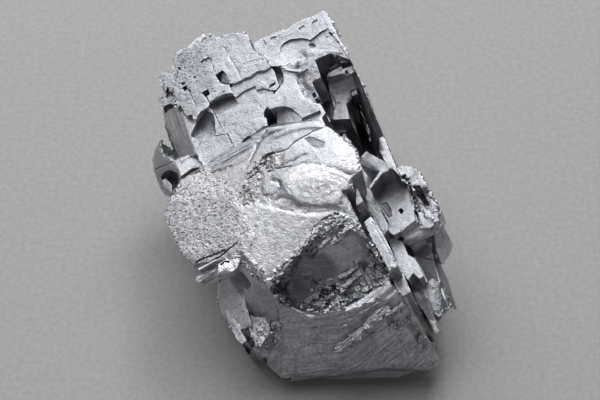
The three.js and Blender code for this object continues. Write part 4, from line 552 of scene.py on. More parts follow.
def fine_mesh(V, F, size, rng):
    """size is the wanted net for each triangle; returns a new V, F and each triangle's patch."""
    P, N, area = patches(V, F)
    n = P.max() + 1
    normal = np.zeros((n, 3))
    centre = np.zeros((n, 3))
    tot = np.bincount(P, area, n)
    for k in range(3):
        normal[:, k] = np.bincount(P, area * N[:, k], n)
        centre[:, k] = np.bincount(P, area * V[F].mean(1)[:, k], n) / np.maximum(tot, 1e-12)
    normal /= np.maximum(np.linalg.norm(normal, axis=1), 1e-12)[:, None]
    H = np.full(n, 1e9)
    np.minimum.at(H, P, size)
    D = np.concatenate([F[:, [0, 1]], F[:, [1, 2]], F[:, [2, 0]]])
    T = np.tile(P, 3)
    E = np.sort(D, 1)
    key = E[:, 0].astype(np.int64) * len(V) + E[:, 1]
    order = np.argsort(key, kind="stable")
    k = key[order]
    first = np.r_[True, k[1:] != k[:-1]]
    group = np.cumsum(first) - 1
    count = np.bincount(group)
    lowp = np.minimum.reduceat(T[order], np.nonzero(first)[0])
    highp = np.maximum.reduceat(T[order], np.nonzero(first)[0])
    border = (lowp != highp) | (count != 2)
    el = np.linalg.norm(V[E[order][first][:, 0]] - V[E[order][first][:, 1]], axis=1)
    h = np.minimum.reduceat(H[T[order]], np.nonzero(first)[0])
    cuts = np.maximum(1, np.ceil(el / h - .2)).astype(int)
    newV = [V]
    base = len(V)
    chain = {}
    for g, (a, b) in enumerate(E[order][first]):
        if not border[g]:
            continue
        m = cuts[g]
        if m > 1:
            t = np.arange(1, m) / m
            newV.append(V[a] * (1 - t)[:, None] + V[b] * t[:, None])
            ids = [a] + list(range(base, base + m - 1)) + [b]
            base += m - 1
        else:
            ids = [a, b]
        chain[g] = ids
    VV = np.concatenate(newV)
    gi = np.empty(len(key), np.int64)
    gi[order] = group
    sel = np.nonzero(border[gi])[0]
    sel = sel[np.argsort(T[sel], kind="stable")]
    starts = np.searchsorted(T[sel], np.arange(n + 1))
    out, outp, extra = [], [], []
    total = len(VV)
    failed = 0
    for p in range(n):
        idx = sel[starts[p]:starts[p + 1]]
        if len(idx) < 3:
            failed += 1
            continue
        nz = normal[p]
        ax = np.cross(nz, [1, 0, 0] if abs(nz[0]) < .8 else [0, 1, 0])
        ax /= np.linalg.norm(ax)
        ay = np.cross(nz, ax)
        seg = []
        for q in idx:
            c = chain[gi[q]]
            if D[q][0] != c[0]:
                c = c[::-1]
            seg += list(zip(c[:-1], c[1:]))
        seg = np.array(seg)
        ids, inv = np.unique(seg, return_inverse=True)
        inv = inv.reshape(seg.shape)
        X = VV[ids] - centre[p]
        U = np.stack([X @ ax, X @ ay], 1)
        off = X @ nz
        S = U[inv]
        s = H[p]
        lo, hi = U.min(0), U.max(0)
        G = np.zeros((0, 2))
        if (hi - lo).min() > s * 1.1 and tot[p] > s * s:
            gx = np.arange(lo[0] + rng.random() * s * .5, hi[0], s)
            gy = np.arange(lo[1] + rng.random() * s * .5, hi[1], s * .866)
            gx, gy = np.meshgrid(gx, gy)
            gx = gx + (np.arange(gy.shape[0]) % 2)[:, None] * s * .5
            G = np.stack([gx.ravel(), gy.ravel()], 1)
            G += rng.uniform(-.16, .16, G.shape) * s
            a, b = S[:, 0], S[:, 1]
            r = np.zeros(len(G), bool)
            for (x0, y0), (x1, y1) in zip(a, b):
                if y0 == y1:
                    continue
                c = (y0 > G[:, 1]) != (y1 > G[:, 1])
                if c.any():
                    r[c] ^= G[c, 0] < (x1 - x0) * (G[c, 1] - y0) / (y1 - y0) + x0
            G = G[r]
            if len(G):
                # clear of the border
                keep = np.ones(len(G), bool)
                for c0 in range(0, len(G), 2000):
                    g = G[c0:c0 + 2000]
                    d = ((g[:, None] - U[None]) ** 2).sum(2).min(1)
                    keep[c0:c0 + 2000] = d > (.62 * s) ** 2
                G = G[keep]
        pts = [Vector(q) for q in np.concatenate([U, G])]
        try:
            r = delaunay_2d_cdt(pts, [tuple(map(int, e)) for e in inv], [], 0, 1e-5, True)
        except Exception:
            failed += 1
            continue
        rv = np.array([tuple(q) for q in r[0]])
        tri = np.array([f for f in r[2] if len(f) == 3], int).reshape(-1, 3)
        if not len(tri):
            failed += 1
            continue
        cen = rv[tri].mean(1)
        keep = np.zeros(len(cen), bool)
        for (x0, y0), (x1, y1) in zip(S[:, 0], S[:, 1]):
            if y0 == y1:
                continue
            c = (y0 > cen[:, 1]) != (y1 > cen[:, 1])
            if c.any():
                keep[c] ^= cen[c, 0] < (x1 - x0) * (cen[c, 1] - y0) / (y1 - y0) + x0
        gid = np.empty(len(rv), np.int64)
        for i, o in enumerate(r[3]):
            o = [x for x in o if x < len(U)]
            if o:
                gid[i] = ids[o[0]]
            else:
                gid[i] = total
                total += 1
                extra.append(centre[p] + rv[i, 0] * ax + rv[i, 1] * ay)
        tri = gid[tri]
        # a triangle on a border segment is in or out by the side it lies on
        big = np.int64(1) << 32
        fwd = seg[:, 0].astype(np.int64) * big + seg[:, 1]
        bwd = seg[:, 1].astype(np.int64) * big + seg[:, 0]
        e3 = np.stack([tri[:, 0] * big + tri[:, 1], tri[:, 1] * big + tri[:, 2], tri[:, 2] * big + tri[:, 0]], 1)
        a_in = np.isin(e3, fwd).any(1)
        a_out = np.isin(e3, bwd).any(1)
        keep = np.where(a_in & ~a_out, True, np.where(a_out & ~a_in, False, keep))
        loc = r[2]
        aa = rv[np.array([f for f in loc if len(f) == 3], int)]
        aa = abs((aa[:, 1, 0] - aa[:, 0, 0]) * (aa[:, 2, 1] - aa[:, 0, 1]) - (aa[:, 2, 0] - aa[:, 0, 0]) * (aa[:, 1, 1] - aa[:, 0, 1])) * .5
        tri, flatt = tri[keep], aa[keep] < 2e-5
        # needles along a straight border that close nothing are dropped
        edge_ok = np.concatenate([fwd, bwd])
        for _ in range(60):
            if not flatt.any():
                break
            ee = np.stack([tri[:, [0, 1]], tri[:, [1, 2]], tri[:, [2, 0]]], 1)
            lo_, hi_ = ee.min(2), ee.max(2)
            k_ = lo_ * big + hi_
            _, ki, kc = np.unique(k_, return_inverse=True, return_counts=True)
            single = kc[ki.reshape(k_.shape)] == 1
            free = single & ~np.isin(k_, edge_ok)
            drop = flatt & free.any(1)
            if not drop.any():
                break
            tri, flatt = tri[~drop], flatt[~drop]
        tri = tri[(tri[:, 0] != tri[:, 1]) & (tri[:, 1] != tri[:, 2]) & (tri[:, 2] != tri[:, 0])]
        out.append(tri)
        outp.append(np.full(len(tri), p))
    VV = np.concatenate([VV, np.array(extra).reshape(-1, 3)])
    FF = np.concatenate(out)
    PP = np.concatenate(outp)
    used, inv = np.unique(FF, return_inverse=True)
    return VV[used], inv.reshape(FF.shape), PP, normal, failed


# ---- the body --------------------------------------------------------------------------
from mathutils.bvhtree import BVHTree

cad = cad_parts["galena"]
V, F = triangles(cad.data)
V, F = clean(to_abc(V * 1000), F, 1e-3)
body = mesh_object("galena_crystals", V, F)
lost = []
rng = np.random.default_rng(7)


def convex_edges(V, F, least=30):
    E = np.sort(np.concatenate([F[:, [0, 1]], F[:, [1, 2]], F[:, [2, 0]]]), 1)
    key = E[:, 0].astype(np.int64) * len(V) + E[:, 1]
    order = np.argsort(key, kind="stable")
    T = np.tile(np.arange(len(F)), 3)[order]
    pair = np.nonzero(key[order][1:] == key[order][:-1])[0]
    n = np.cross(V[F[:, 1]] - V[F[:, 0]], V[F[:, 2]] - V[F[:, 0]])
    n /= np.maximum(np.linalg.norm(n, axis=1), 1e-12)[:, None]
    i, j = T[pair], T[pair + 1]
    bend = (n[i] * n[j]).sum(1) < math.cos(math.radians(least))
    out = ((V[F[j]].mean(1) - V[F[i]].mean(1)) * n[i]).sum(1) < -1e-4
    e = E[order][pair[bend & out]]
    return V[e[:, 0]], V[e[:, 1]], n[i[bend & out]], n[j[bend & out]]


# worn crystal edges everywhere, finer on the sighted side
P0, P1, n0, n1 = convex_edges(V, F)
L = np.linalg.norm(P1 - P0, axis=1)
mid = (P0 + P1) / 2
look = AX @ (SIGHT[2] * EYE) - mid
front = ((n0 + n1) * look).sum(1) > 0
boxes = []
for k in np.nonzero((L > .8) & (to_world(mid)[:, 2] > .8))[0]:
    for _ in range(rng.poisson(L[k] * (.045 if front[k] else .05))):
        p = P0[k] + (P1[k] - P0[k]) * rng.random()
        big = (.32 if front[k] else .85) * rng.uniform(.35, 1, 3) * (1 if rng.random() < .8 else 1.6)
        boxes.append((p + rng.uniform(-.12, .12, 3), big))
for name, level, step, s0, s1, d0, d1, line in NICKS:
    line = np.array(line)
    seg = np.hypot(*np.diff(line, axis=0).T)
    for t in np.arange(0, seg.sum(), step):
        t = t + rng.uniform(-.5, .5) * step
        k = min(int(np.searchsorted(np.cumsum(seg), max(t, 0))), len(seg) - 1)
        r = np.clip((t - (seg[:k].sum())) / seg[k], 0, 1)
        s, u = line[k] + (line[k + 1] - line[k]) * r + rng.uniform(-.12, .12, 2)
        a, b = on_c(s, u, level)
        d = rng.uniform(d0, d1)
        boxes.append((np.array([a, b, level + 1.2 - d / 2]), np.array([*(rng.uniform(s0, s1, 2) / 2), 1.2 + d / 2])))
# thin growth steps on the flat faces turned away
size_ = np.linalg.norm(np.cross(V[F[:, 1]] - V[F[:, 0]], V[F[:, 2]] - V[F[:, 0]]), axis=1)
nn = np.cross(V[F[:, 1]] - V[F[:, 0]], V[F[:, 2]] - V[F[:, 0]]) / np.maximum(size_, 1e-9)[:, None]
flat_ = (abs(nn).max(1) > .999) & ((nn * (AX @ (SIGHT[2] * EYE) - V[F].mean(1))).sum(1) < 0) & ((nn @ AX)[:, 2] > -.6) & (to_world(V[F].mean(1))[:, 2] > 2)
share = size_ * flat_
for k in rng.choice(len(F), 70, p=share / share.sum()):
    w = rng.dirichlet((1, 1, 1))
    p = w @ V[F[k]]
    axis = int(np.argmax(abs(nn[k])))
    half = rng.uniform(.8, 3.2, 3)
    half[axis] = rng.uniform(.07, .24)
    boxes.append((p, half))
made = cut_boxes(body, boxes)
print("boxes", len(boxes), "passes and lost", made, round(time.time() - T0, 1))
for kind, name, level, c0, c1, outline, taper in SMALL:
    small = max(max(p[0] for p in outline) - min(p[0] for p in outline), max(p[1] for p in outline) - min(p[1] for p in outline)) < 1.6
    if kind != "crack":
        outline = ragged(outline, rng, .35 if small else .45, .03 if small else .06)
    poly = [on_c(s, t, level) for s, t in outline]
    if not boolean(body, *prism_mesh(poly, c0, c1, taper), "UNION" if kind == "add" else "DIFFERENCE"):
        lost.append(name)
V, F = triangles(body.data)
tree = BVHTree.FromPolygons(V.tolist(), F.tolist())
EYE_ABC = AX @ (SIGHT[2] * EYE)


def struck(s, t):
    """The point and the face direction sighted at (s, t), or None."""
    d = from_plan(s, t, 0) - EYE_ABC
    at, n, _, _ = tree.ray_cast(Vector(EYE_ABC), Vector(d / np.linalg.norm(d)))
    if at is None:
        return None
    n = np.array(n)
    return np.array(at), n if n @ d < 0 else -n


TILT = np.array([.243, 0, .97])
for kind, name, x, y, outline in LAID:
    thin = kind.endswith("_thin")
    kind = kind.split("_")[0]
    if kind == "patch":
        q = struck(*y)
        if q is None:
            lost.append(name)
            continue
        P = []
        for s, t, d in outline:
            a_, b_ = from_plan(s, t, 0), from_plan(s, t, 1)
            k = ((q[0] - a_) @ q[1]) / ((b_ - a_) @ q[1])
            P += [a_ + (b_ - a_) * (k + d), a_ + (b_ - a_) * (k + d - x)]
        if not boolean(body, *hull_mesh(P), "UNION"):
            lost.append(name)
        continue
    if kind == "fill":
        outline = outline[::-1] if sum(a[0] * b[1] - b[0] * a[1] for a, b in zip(outline, outline[1:] + outline[:1])) < 0 else outline
        hits = [struck(p[2], p[3]) for p in outline]
        if None in hits:
            lost.append(name)
            continue
        deep = [plan(q[0][None])[0, 2] + p[4] for q, p in zip(hits, outline)]
        if not boolean(body, *hull_mesh([from_plan(p[0], p[1], d - e) for p, d in zip(outline, deep) for e in (0, x)]), "UNION"):
            lost.append(name)
        continue
    if not thin:
        outline = ragged(outline, rng, .45, .05)
    if sum(a[0] * b[1] - b[0] * a[1] for a, b in zip(outline, outline[1:] + outline[:1])) < 0:
        outline = outline[::-1]
    if kind == "trim":
        low, high = [from_plan(s, t, -80) for s, t in outline], [from_plan(s, t, 60) for s, t in outline]
    else:
        hits = [struck(s, t) for s, t in outline]
        good = [q for q in hits if q is not None]
        if not good:
            lost.append(name)
            continue
        if kind == "tilt":
            mid_ = struck(*np.mean(outline, 0))
            top = max([q[0] for q in good] + ([mid_[0]] if mid_ else []), key=lambda p: p @ TILT)
            P = []
            for s, t in outline:
                a_ = from_plan(s, t, 0)
                d_ = from_plan(s, t, 1) - a_
                P.append(a_ + d_ * (((top - a_) @ TILT) / (d_ @ TILT)))
            low, high = [p - TILT * x for p in P], [p + TILT * .05 for p in P]
        elif kind in ("dig", "raise"):
            n = np.mean([q[1] for q in good], 0)
            n /= np.linalg.norm(n)
            depth = np.median([plan(q[0][None])[0, 2] for q in good])
            P = [q[0] if q is not None else from_plan(s, t, depth) for q, (s, t) in zip(hits, outline)]
            a_, b_ = (x, y) if kind == "dig" else (y, x)
            low, high = [p - n * a_ for p in P], [p + n * b_ for p in P]
        else:
            level = float(np.median([q[0][2] for q in good]))
            if kind == "ledge":
                mid_ = struck(*np.mean(outline, 0))
                level = max(q[0][2] for q in good + ([mid_] if mid_ else []))
                level, y = min(level, float(np.median([q[0][2] for q in good])) + 1.3) + .04, x
            if kind == "step":
                level += x
            P = [on_c(s, t, level) for s, t in outline]
            c0, c1 = (level - y, level) if kind in ("step", "ledge") else (level - x, level + y)
            low, high = [(a, b, c0) for a, b in P], [(a, b, c1) for a, b in P]
    if not boolean(body, *between(low, high), "UNION" if kind in ("step", "raise", "ledge", "tilt") else "DIFFERENCE"):
        lost.append(name)
V, F = triangles(body.data)
V, F = clean(V, F, 1.5e-3)
print("small work", len(F), "not done:", lost, round(time.time() - T0, 1))


def seen(P, N, V, F, lift=.02):
    tree = BVHTree.FromPolygons(V.tolist(), F.tolist())
    out = np.zeros(len(P), bool)
    D = EYE_ABC - P
    L = np.linalg.norm(D, axis=1)
    D /= L[:, None]
    front = (N * D).sum(1) > -.05
    O = P + N * lift + D * lift
    for i in np.nonzero(front)[0]:
        out[i] = tree.ray_cast(Vector(O[i]), Vector(D[i]))[0] is None
    return out


def largest(V, F):
    """The biggest connected body; crumbs cut loose are dropped."""
    lab = np.arange(len(V))
    while True:
        m = lab[F].min(1)
        new = lab.copy()
        np.minimum.at(new, F.ravel(), np.repeat(m, 3))
        new = new[new]
        if (new == lab).all():
            break
        lab = new
    count = np.bincount(lab[F[:, 0]], minlength=len(V))
    keep = lab[F[:, 0]] == count.argmax()
    F = F[keep]
    used = np.unique(F)
    back = np.zeros(len(V), int)
    back[used] = np.arange(len(used))
    return V[used], back[F]


def tri_normals(V, F):
    n = np.cross(V[F[:, 1]] - V[F[:, 0]], V[F[:, 2]] - V[F[:, 0]])
    L = np.linalg.norm(n, axis=1)
    return n / np.maximum(L, 1e-12)[:, None], L * .5


V, F = largest(V, F)
TN, TA = tri_normals(V, F)
vis = np.zeros(len(F), bool)
for w in ((1, 1, 1), (4, 1, 1), (1, 4, 1), (1, 1, 4), (8, 8, 1), (1, 8, 8), (8, 1, 8)):
    w = np.array(w) / sum(w)
    todo = ~vis
    P = (V[F[todo]] * w[None, :, None]).sum(1)
    vis[np.nonzero(todo)[0][seen(P, TN[todo], V, F)]] = True
H_SEEN, H_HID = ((.38, 1.3))
h = np.where(vis, H_SEEN, H_HID)
world_n = TN @ AX
world_z = to_world(V[F].mean(1))[:, 2]
h[(world_n[:, 2] < -.5)] = 1.6
h[(world_n[:, 2] < -.99) & (world_z < .05)] = 3.0
V, F, PATCH, PNORM, failed = fine_mesh(V, F, h, rng)
print("fine net", len(V), len(F), "patches", len(PNORM), "failed", failed, round(time.time() - T0, 1))


def vertex_normals(V, F):
    n, a = tri_normals(V, F)
    out = np.zeros_like(V)
    for k in range(3):
        for j in range(3):
            out[:, j] += np.bincount(F[:, k], n[:, j] * a, len(V))
    return out / np.maximum(np.linalg.norm(out, axis=1), 1e-12)[:, None]


EDGES = np.unique(np.sort(np.concatenate([F[:, [0, 1]], F[:, [1, 2]], F[:, [2, 0]]]), 1), axis=0)
DEG = np.bincount(EDGES.ravel(), minlength=len(V)).astype(float)


def around(x):
    """The mean of each vertex's neighbours."""
    x = np.asarray(x, float)
    if x.ndim == 1:
        s = np.bincount(EDGES[:, 0], x[EDGES[:, 1]], len(V)) + np.bincount(EDGES[:, 1], x[EDGES[:, 0]], len(V))
        return s / np.maximum(DEG, 1)
    return np.stack([around(x[:, k]) for k in range(x.shape[1])], 1)


# how near each vertex is to a sharp edge between two patches
FE = np.sort(np.concatenate([F[:, [0, 1]], F[:, [1, 2]], F[:, [2, 0]]]), 1)
key = FE[:, 0].astype(np.int64) * len(V) + FE[:, 1]
order = np.argsort(key, kind="stable")
ft = np.tile(np.arange(len(F)), 3)[order]
pair = np.nonzero(key[order][1:] == key[order][:-1])[0]
fn, fa = tri_normals(V, F)
dot = (fn[ft[pair]] * fn[ft[pair + 1]]).sum(1)
sharp = dot < .86
ev = FE[order][pair[sharp]]
cen0, cen1 = V[F[ft[pair[sharp]]]].mean(1), V[F[ft[pair[sharp] + 1]]].mean(1)
convex = ((cen1 - cen0) * fn[ft[pair[sharp]]]).sum(1) < 0
edge_near = np.zeros(len(V))
edge_near[ev[convex].ravel()] = 1
hollow_near = np.zeros(len(V))
hollow_near[ev[~convex].ravel()] = 1
edge_on = edge_near.copy()
for _ in range(2):
    edge_near = np.maximum(edge_near, around(edge_near) * 1.3).clip(0, 1)

NV = vertex_normals(V, F)
VIS = seen(V, NV, V, F).astype(float)
VIS = np.maximum(VIS, (around(VIS) > .3))
base = to_world(V)[:, 2]
on_base = base < .02
Q = plan(V)
S2 = Q[:, :2]
FACE_C = ramp(NV[:, 2], .75, .93)
print("sighted", round(time.time() - T0, 1))


def where(poly, soft=.4):
    return region(S2, poly, soft) * VIS


def ridge_line(line):
    """Signed distance (left of the line is plus) and run along it."""
    line = np.asarray(line, float)
    d, s = line_distance(S2, line)
    sign = np.ones(len(S2))
    best = np.full(len(S2), 1e9)
    for a, b in zip(line[:-1], line[1:]):
        v = b - a
        t = np.clip(((S2 - a) @ v) / (v @ v), 0, 1)
        q = S2 - a - t[:, None] * v
        L = np.hypot(*q.T)
        m = L < best
        best[m] = L[m]
        w = S2 - a
        sign[m] = np.sign(v[0] * w[:, 1] - v[1] * w[:, 0])[m]
    return d * np.where(sign == 0, 1, sign), s


def ends(s, k=.12):
    return ramp(s, 0, k) * ramp(1 - s, 0, k)


def groove(line, width, depth):
    d, s = line_distance(S2, line)
    return -depth * np.exp(-(d / (width * .6)) ** 2) * VIS * ends(s)


def ledge(line, height, above, below):
    """A step that falls off fast on the right of the line and slowly on its left."""
    d, s = ridge_line(line)
    up = np.where(d > 0, 1 - ramp(d, 0, above), 1 - ramp(-d, 0, below))
    return height * up * VIS * ends(s)


def terrace(P, N, size, seed, rough=.35):
    """How far along N each point is from the nearest plane of a broken cubic lattice."""
    best = np.full(len(P), 1e9)
    for i in range(3):
        j, k = (i + 1) % 3, (i + 2) % 3
        block = np.stack([P[:, j] / (size * 2.3) + .3 * seed, P[:, k] / (size * 1.7) + .7 * i, 0 * P[:, i] + i], 1)
        o = (cell(block, seed + i) - .5) * size * 2 * rough
        n = N[:, i]
        d = np.round((P[:, i] + o) / size) * size - o - P[:, i]
        d = np.where(abs(n) > .25, d / np.where(abs(n) > .25, n, 1), 1e9)
        best = np.where(abs(d) < abs(best), d, best)
    return np.clip(best, -size * .8, size * .8)


# regions of the sighted side
R_FRONT = [(-4, -19.81), (3.81, -21.9), (8.57, -21.14), (12.38, -20), (17.14, -15.81), (18.29, -16.57), (25.14, -27.81), (26.48, -31.05), (24, -32.57), (16, -32.19), (7.05, -33.52), (-3.24, -34.1), (-7.24, -29.71), (-8.76, -27.62), (-9.52, -24.76), (-7.24, -22.48)]
R_SCOOP = [(11.62, -4.76), (8.95, -3.24), (6.29, -2.57), (3.81, -4.38), (2.1, -6.67), (-0.19, -9.14), (-2.67, -11.24), (-4.38, -12.76), (-6.1, -14.86), (-5.33, -17.14), (-4, -19.62), (-1.9, -20.76), (3.81, -21.71), (8.57, -20.76), (12.38, -19.62), (16.76, -15.81), (15.24, -11.05)]
R_RIM = [(11.62, -4.76), (8.95, -3.24), (6.29, -2.57), (3.81, -4.38), (2.1, -6.67), (-0.19, -9.14), (-2.67, -11.24), (-4.38, -12.76), (-5.71, -14.67), (-4.57, -16.95), (-3.43, -18.86), (-1.9, -18.48), (-1.9, -15.24), (-0.76, -12.57), (1.9, -9.9), (3.81, -7.62), (6.48, -5.71), (9.52, -5.71), (11.81, -5.9)]
R_RIM_L = [(-6.1, -14.48), (-3.05, -11.81), (-1.71, -12.19), (-2.1, -15.24), (-1.9, -18.86), (-4.38, -19.05), (-5.33, -17.14)]
R_HOLLOW = [(-1.9, -12.95), (0, -11.24), (2.67, -10.29), (5.33, -10.48), (6.86, -12.19), (6.48, -14.86), (4.19, -17.14), (1.14, -18.29), (-1.14, -17.9), (-2.1, -16)]
R_SMOOTH = [(4.19, -8.76), (6.86, -7.24), (9.9, -6.29), (12.19, -7.24), (13.52, -9.9), (12.95, -13.33), (10.67, -12.95), (8, -13.33), (6.29, -11.81)]
R_TRENCH = [(8.76, 19.81), (11.05, 20.57), (12.57, 16.76), (15.24, 11.43), (16, 9.52), (13.71, 8.38), (11.43, 7.62), (9.9, 11.43)]
R_BLACK = [(9.14, 19.05), (10.86, 20.19), (12.57, 16.95), (14.86, 12.19), (15.81, 9.52), (13.9, 8.76), (12.19, 10.1), (10.67, 13.71)]
R_EDGE1 = [(19.66, -18.55), (19.96, -18.32), (24.95, -26.86), (24.65, -27.12)]
R_TIP = [(25.14, -26.86), (26.67, -27.05), (26.86, -29.33), (25.33, -29.33)]
R_GL = [(21.52, -17.71), (22.67, -17.45), (23.81, -19.81), (24, -21.14), (23.05, -20.95)]
R_SPR = [(-6.48, -22.48), (-3.24, -23.24), (-3.43, -26.67), (-5.71, -28.95), (-8.38, -28.95), (-6.48, -27.43)]
R_EDGE2 = [(18.78, -23.12), (19.09, -22.86), (23.85, -28.65), (23.54, -28.91)]
R_GB = [(22.29, -19.05), (24.57, -18.67), (26.29, -23.24), (24.95, -24.57), (23.24, -22.1)]
R_BLOB = [(24.95, -22.97), (25.9, -22.97), (26.59, -24.95), (25.9, -25.64)]
R_WEDGE = [(11.43, 9.52), (13.33, 10.1), (16.38, 7.05), (14.67, 5.71), (11.62, 6.29)]
R_CWALL = [(4.57, 24.57), (8.95, 25.52), (9.9, 21.71), (5.52, 21.14)]
R_RIMLINE = [(11.16, 19.62), (12.27, 19.62), (14.74, 11.05), (13.6, 10.1)]
R_BAR = [(19.43, -18.48), (21.14, -17.33), (26.86, -27.81), (25.52, -28.57)]
R_PATCH = [(12.57, -23.43), (13.71, -21.52), (16.76, -20), (17.71, -20.76), (16.19, -22.67), (13.71, -24.38)]
R_WLEDGE = [(19.43, -6.67), (21.14, -4.57), (23.62, -3.92), (25.52, -5.33), (23.62, -6.86), (20.57, -7.62)]
R_FWALL = [(13.52, 2.1), (17.52, 5.71), (18.67, 5.33), (20.76, 2.86), (16, -0.19), (14.1, 0.57)]
R_E = [(10.86, -3.81), (12.57, -3.05), (18.29, -11.81), (16.38, -12.95)]
R_DWALL = [(3.81, 16), (8.76, 16), (10.29, 12.57), (12.57, 9.14), (11.81, 6.86), (9.52, 8.38), (6.86, 11.43), (4.19, 14.1)]
R_CFLOOR = [(5.33, 21.33), (9.9, 23.43), (10.86, 21.33), (9.14, 19.43), (8.95, 15.62), (6.29, 15.24)]
R_STRIP = [(19.43, -22.29), (20.57, -21.33), (25.14, -27.81), (23.62, -28.95)]
R_RIDGE = [(6.48, -28.57), (8.76, -26.29), (11.81, -23.81), (14.1, -24), (17.52, -19.43), (19.81, -19.05), (20.19, -20.95), (18.29, -22.86), (15.62, -24.76), (13.71, -26.29), (10.67, -28), (7.62, -29.33)]
R_GDARK = [(21.14, -16.76), (23.05, -16.57), (24.57, -19.43), (26.29, -23.24), (24.95, -24.57), (23.24, -21.71)]
R_E4 = [(16.76, -13.14), (18.67, -12.38), (19.62, -13.9), (18.1, -15.24)]
R_RIBLOW = [(-14.48, -21.33), (-12.95, -22.48), (-10.67, -26.29), (-11.43, -27.81), (-13.33, -25.9)]
R_SPF = [(-10.29, -21.33), (-6.48, -21.71), (-5.71, -24.76), (-7.24, -28.57), (-9.14, -27.05)]
R_LOWER = [(-3.14, -33.52), (0, -33.03), (6.1, -32.27), (9.9, -32.27), (13.81, -32.27), (18.86, -30.99), (23.62, -30.86), (25.9, -31.62), (24.38, -32.76), (16, -34.67), (7.05, -35.05), (-3.24, -35.43)]
R_DPLATE = [(-12.19, 0), (-8.76, -0.76), (0, -2.67), (5.71, -3.05), (0, -9.52), (-7.24, -15.62), (-10.67, -9.52)]
R_RIB = [(-15.81, -15.81), (-13.52, -15.05), (-10.86, -19.05), (-9.14, -24), (-10.67, -26.86), (-12.76, -25.9), (-14.86, -22.48), (-16, -19.05)]
R_FBACK = [(19.05, 7.62), (21.71, 6.86), (24.38, 4.19), (26.29, -1.14), (27.43, -4.19), (24.38, -3.81), (21.71, -1.14), (20.19, 2.67), (18.29, 5.33)]
R_CLUSTER = [(2.29, -16), (5.71, -14.48), (9.14, -16), (9.9, -18.29), (7.62, -21.33), (4.19, -21.33), (1.52, -19.05)]
R_CLUSTER_2 = [(14.48, -13.33), (17.52, -12.57), (17.9, -15.24), (16, -16.38), (14.1, -15.24)]
R_CUBES_R = [(11.81, -7.62), (13.71, -8.38), (16, -11.81), (16, -14.1), (13.71, -13.33), (12.57, -10.67)]
R_PITTED = [(-24.76, 0.19), (-22.67, 3.62), (-18.29, 5.33), (-14.86, 4.19), (-12.38, 1.9), (-10.29, -2.67), (-8.76, -7.24), (-11.43, -8.95), (-14.86, -9.9), (-20.38, -12.19), (-22.86, -9.9), (-24.38, -6.1), (-25.9, -2.67)]
R_CRUMB = [(-10.67, 3.81), (-9.14, 6.48), (-7.24, 8.38), (-5.71, 8.38), (-5.33, 6.48), (-7.24, 4.57), (-7.24, 1.9), (-8.76, -0.38), (-11.05, -1.14), (-12.19, 0.76)]
R_CRUMB_2 = [(-7.24, 8.38), (-4.57, 9.52), (-3.05, 9.14), (-3.43, 6.48), (-5.33, 5.33), (-7.24, 5.71)]
R_PLATEAU = [(-3.81, 4), (-2.29, 5.71), (0.19, 6.86), (4.19, 6.67), (8, 5.24), (9.52, 4), (8.76, 1.33), (7.05, -0.95), (3.43, -1.14), (0.57, -1.14), (-1.14, 0), (-2.67, 1.52)]
R_BAND = [(-8.57, 0.57), (-6.48, 1.03), (-3.43, 0.76), (-1.52, -0.11), (-0.38, -1.14), (1.33, -0.95), (3.43, -1.14), (6.1, -1.33), (8, -1.71), (8.76, -2.67), (6.48, -2.48), (3.81, -2.67), (0.38, -2.67), (-2.67, -2), (-6.1, -1.33), (-8.38, -0.57)]
R_DENT = [(0.86, 11.43), (1.52, 11.92), (3.05, 11.7), (4.88, 10.86), (4.3, 9.6), (3.5, 9.98), (4, 9.3), (2.78, 10.02), (1.64, 10.74)]
R_BRIGHT = [(6.29, 11.05), (7.62, 11.43), (9.71, 10.86), (10.86, 9.52), (11.43, 7.62), (11.24, 5.14), (9.52, 5.14), (8.19, 6.48), (7.05, 8.57)]
R_A = [(-23.62, 17.52), (-26.67, 18.29), (-27.43, 20.95), (-24.76, 26.67), (-18.29, 31.62), (-10.29, 32.38), (-8.38, 29.33), (-3.05, 22.86), (-4.57, 20), (-6.48, 16.76), (-5.33, 13.71), (-10.67, 10.29), (-18.29, 6.29), (-20.57, 15.24)]
R_B = [(-6.86, 28.57), (-7.24, 31.24), (0, 34.67), (4.57, 36.57), (8.76, 29.71), (9.9, 25.9), (4.57, 26.67), (4.19, 18.29), (4.19, 14.86), (0, 13.71), (-3.05, 18.29), (-1.9, 24)]
R_B_ROUGH = [(-0.76, 26.29), (0.76, 27.81), (2.29, 28.57), (7.24, 28.57), (8.76, 27.05), (4.57, 26.67), (2.67, 25.9), (4.57, 22.86), (2.48, 22.1), (3.81, 19.43), (4.19, 17.9), (2.1, 18.29), (0, 20.95), (-0.76, 23.62)]
R_SLOPE = [(-26.1, 17.14), (-23.24, 17.71), (-20.95, 12.76), (-19.62, 8.57), (-22.67, 7.24), (-24.76, 11.24)]
R_WHITE = [(-16, -12.19), (-13.9, -11.05), (-11.43, -9.52), (-11.24, -10.86), (-12.38, -13.71), (-15.62, -14.29)]
R_SPLINT = [(-20.95, -12.95), (-18.29, -11.05), (-11.43, -8.38), (-11.05, -10.67), (-8.38, -11.81), (-6.1, -16), (-8, -16.76), (-11.43, -13.71), (-15.62, -14.86), (-18.29, -17.14), (-20.19, -15.24)]
R_SPARK_L = [(-12.19, -11.81), (-9.14, -11.43), (-6.86, -13.33), (-5.33, -16), (-6.86, -16.38), (-9.52, -14.48)]
R_LEFT_DARK = [(-12.57, -14.48), (-8.38, -16), (-4.57, -18.29), (-4.19, -21.33), (-7.24, -23.24), (-9.9, -23.24), (-11.81, -19.05)]
R_SPARK_F = [(-9.9, -25.9), (-7.24, -23.24), (-5.33, -22.48), (-3.62, -23.24), (-3.43, -26.29), (-5.71, -28.57), (-8, -28.57)]
R_RIBS = [(-15.62, -15.24), (-12.19, -14.48), (-10.29, -19.05), (-9.14, -24), (-8.38, -27.81), (-10.67, -27.43), (-14.1, -23.62), (-15.62, -20.19)]
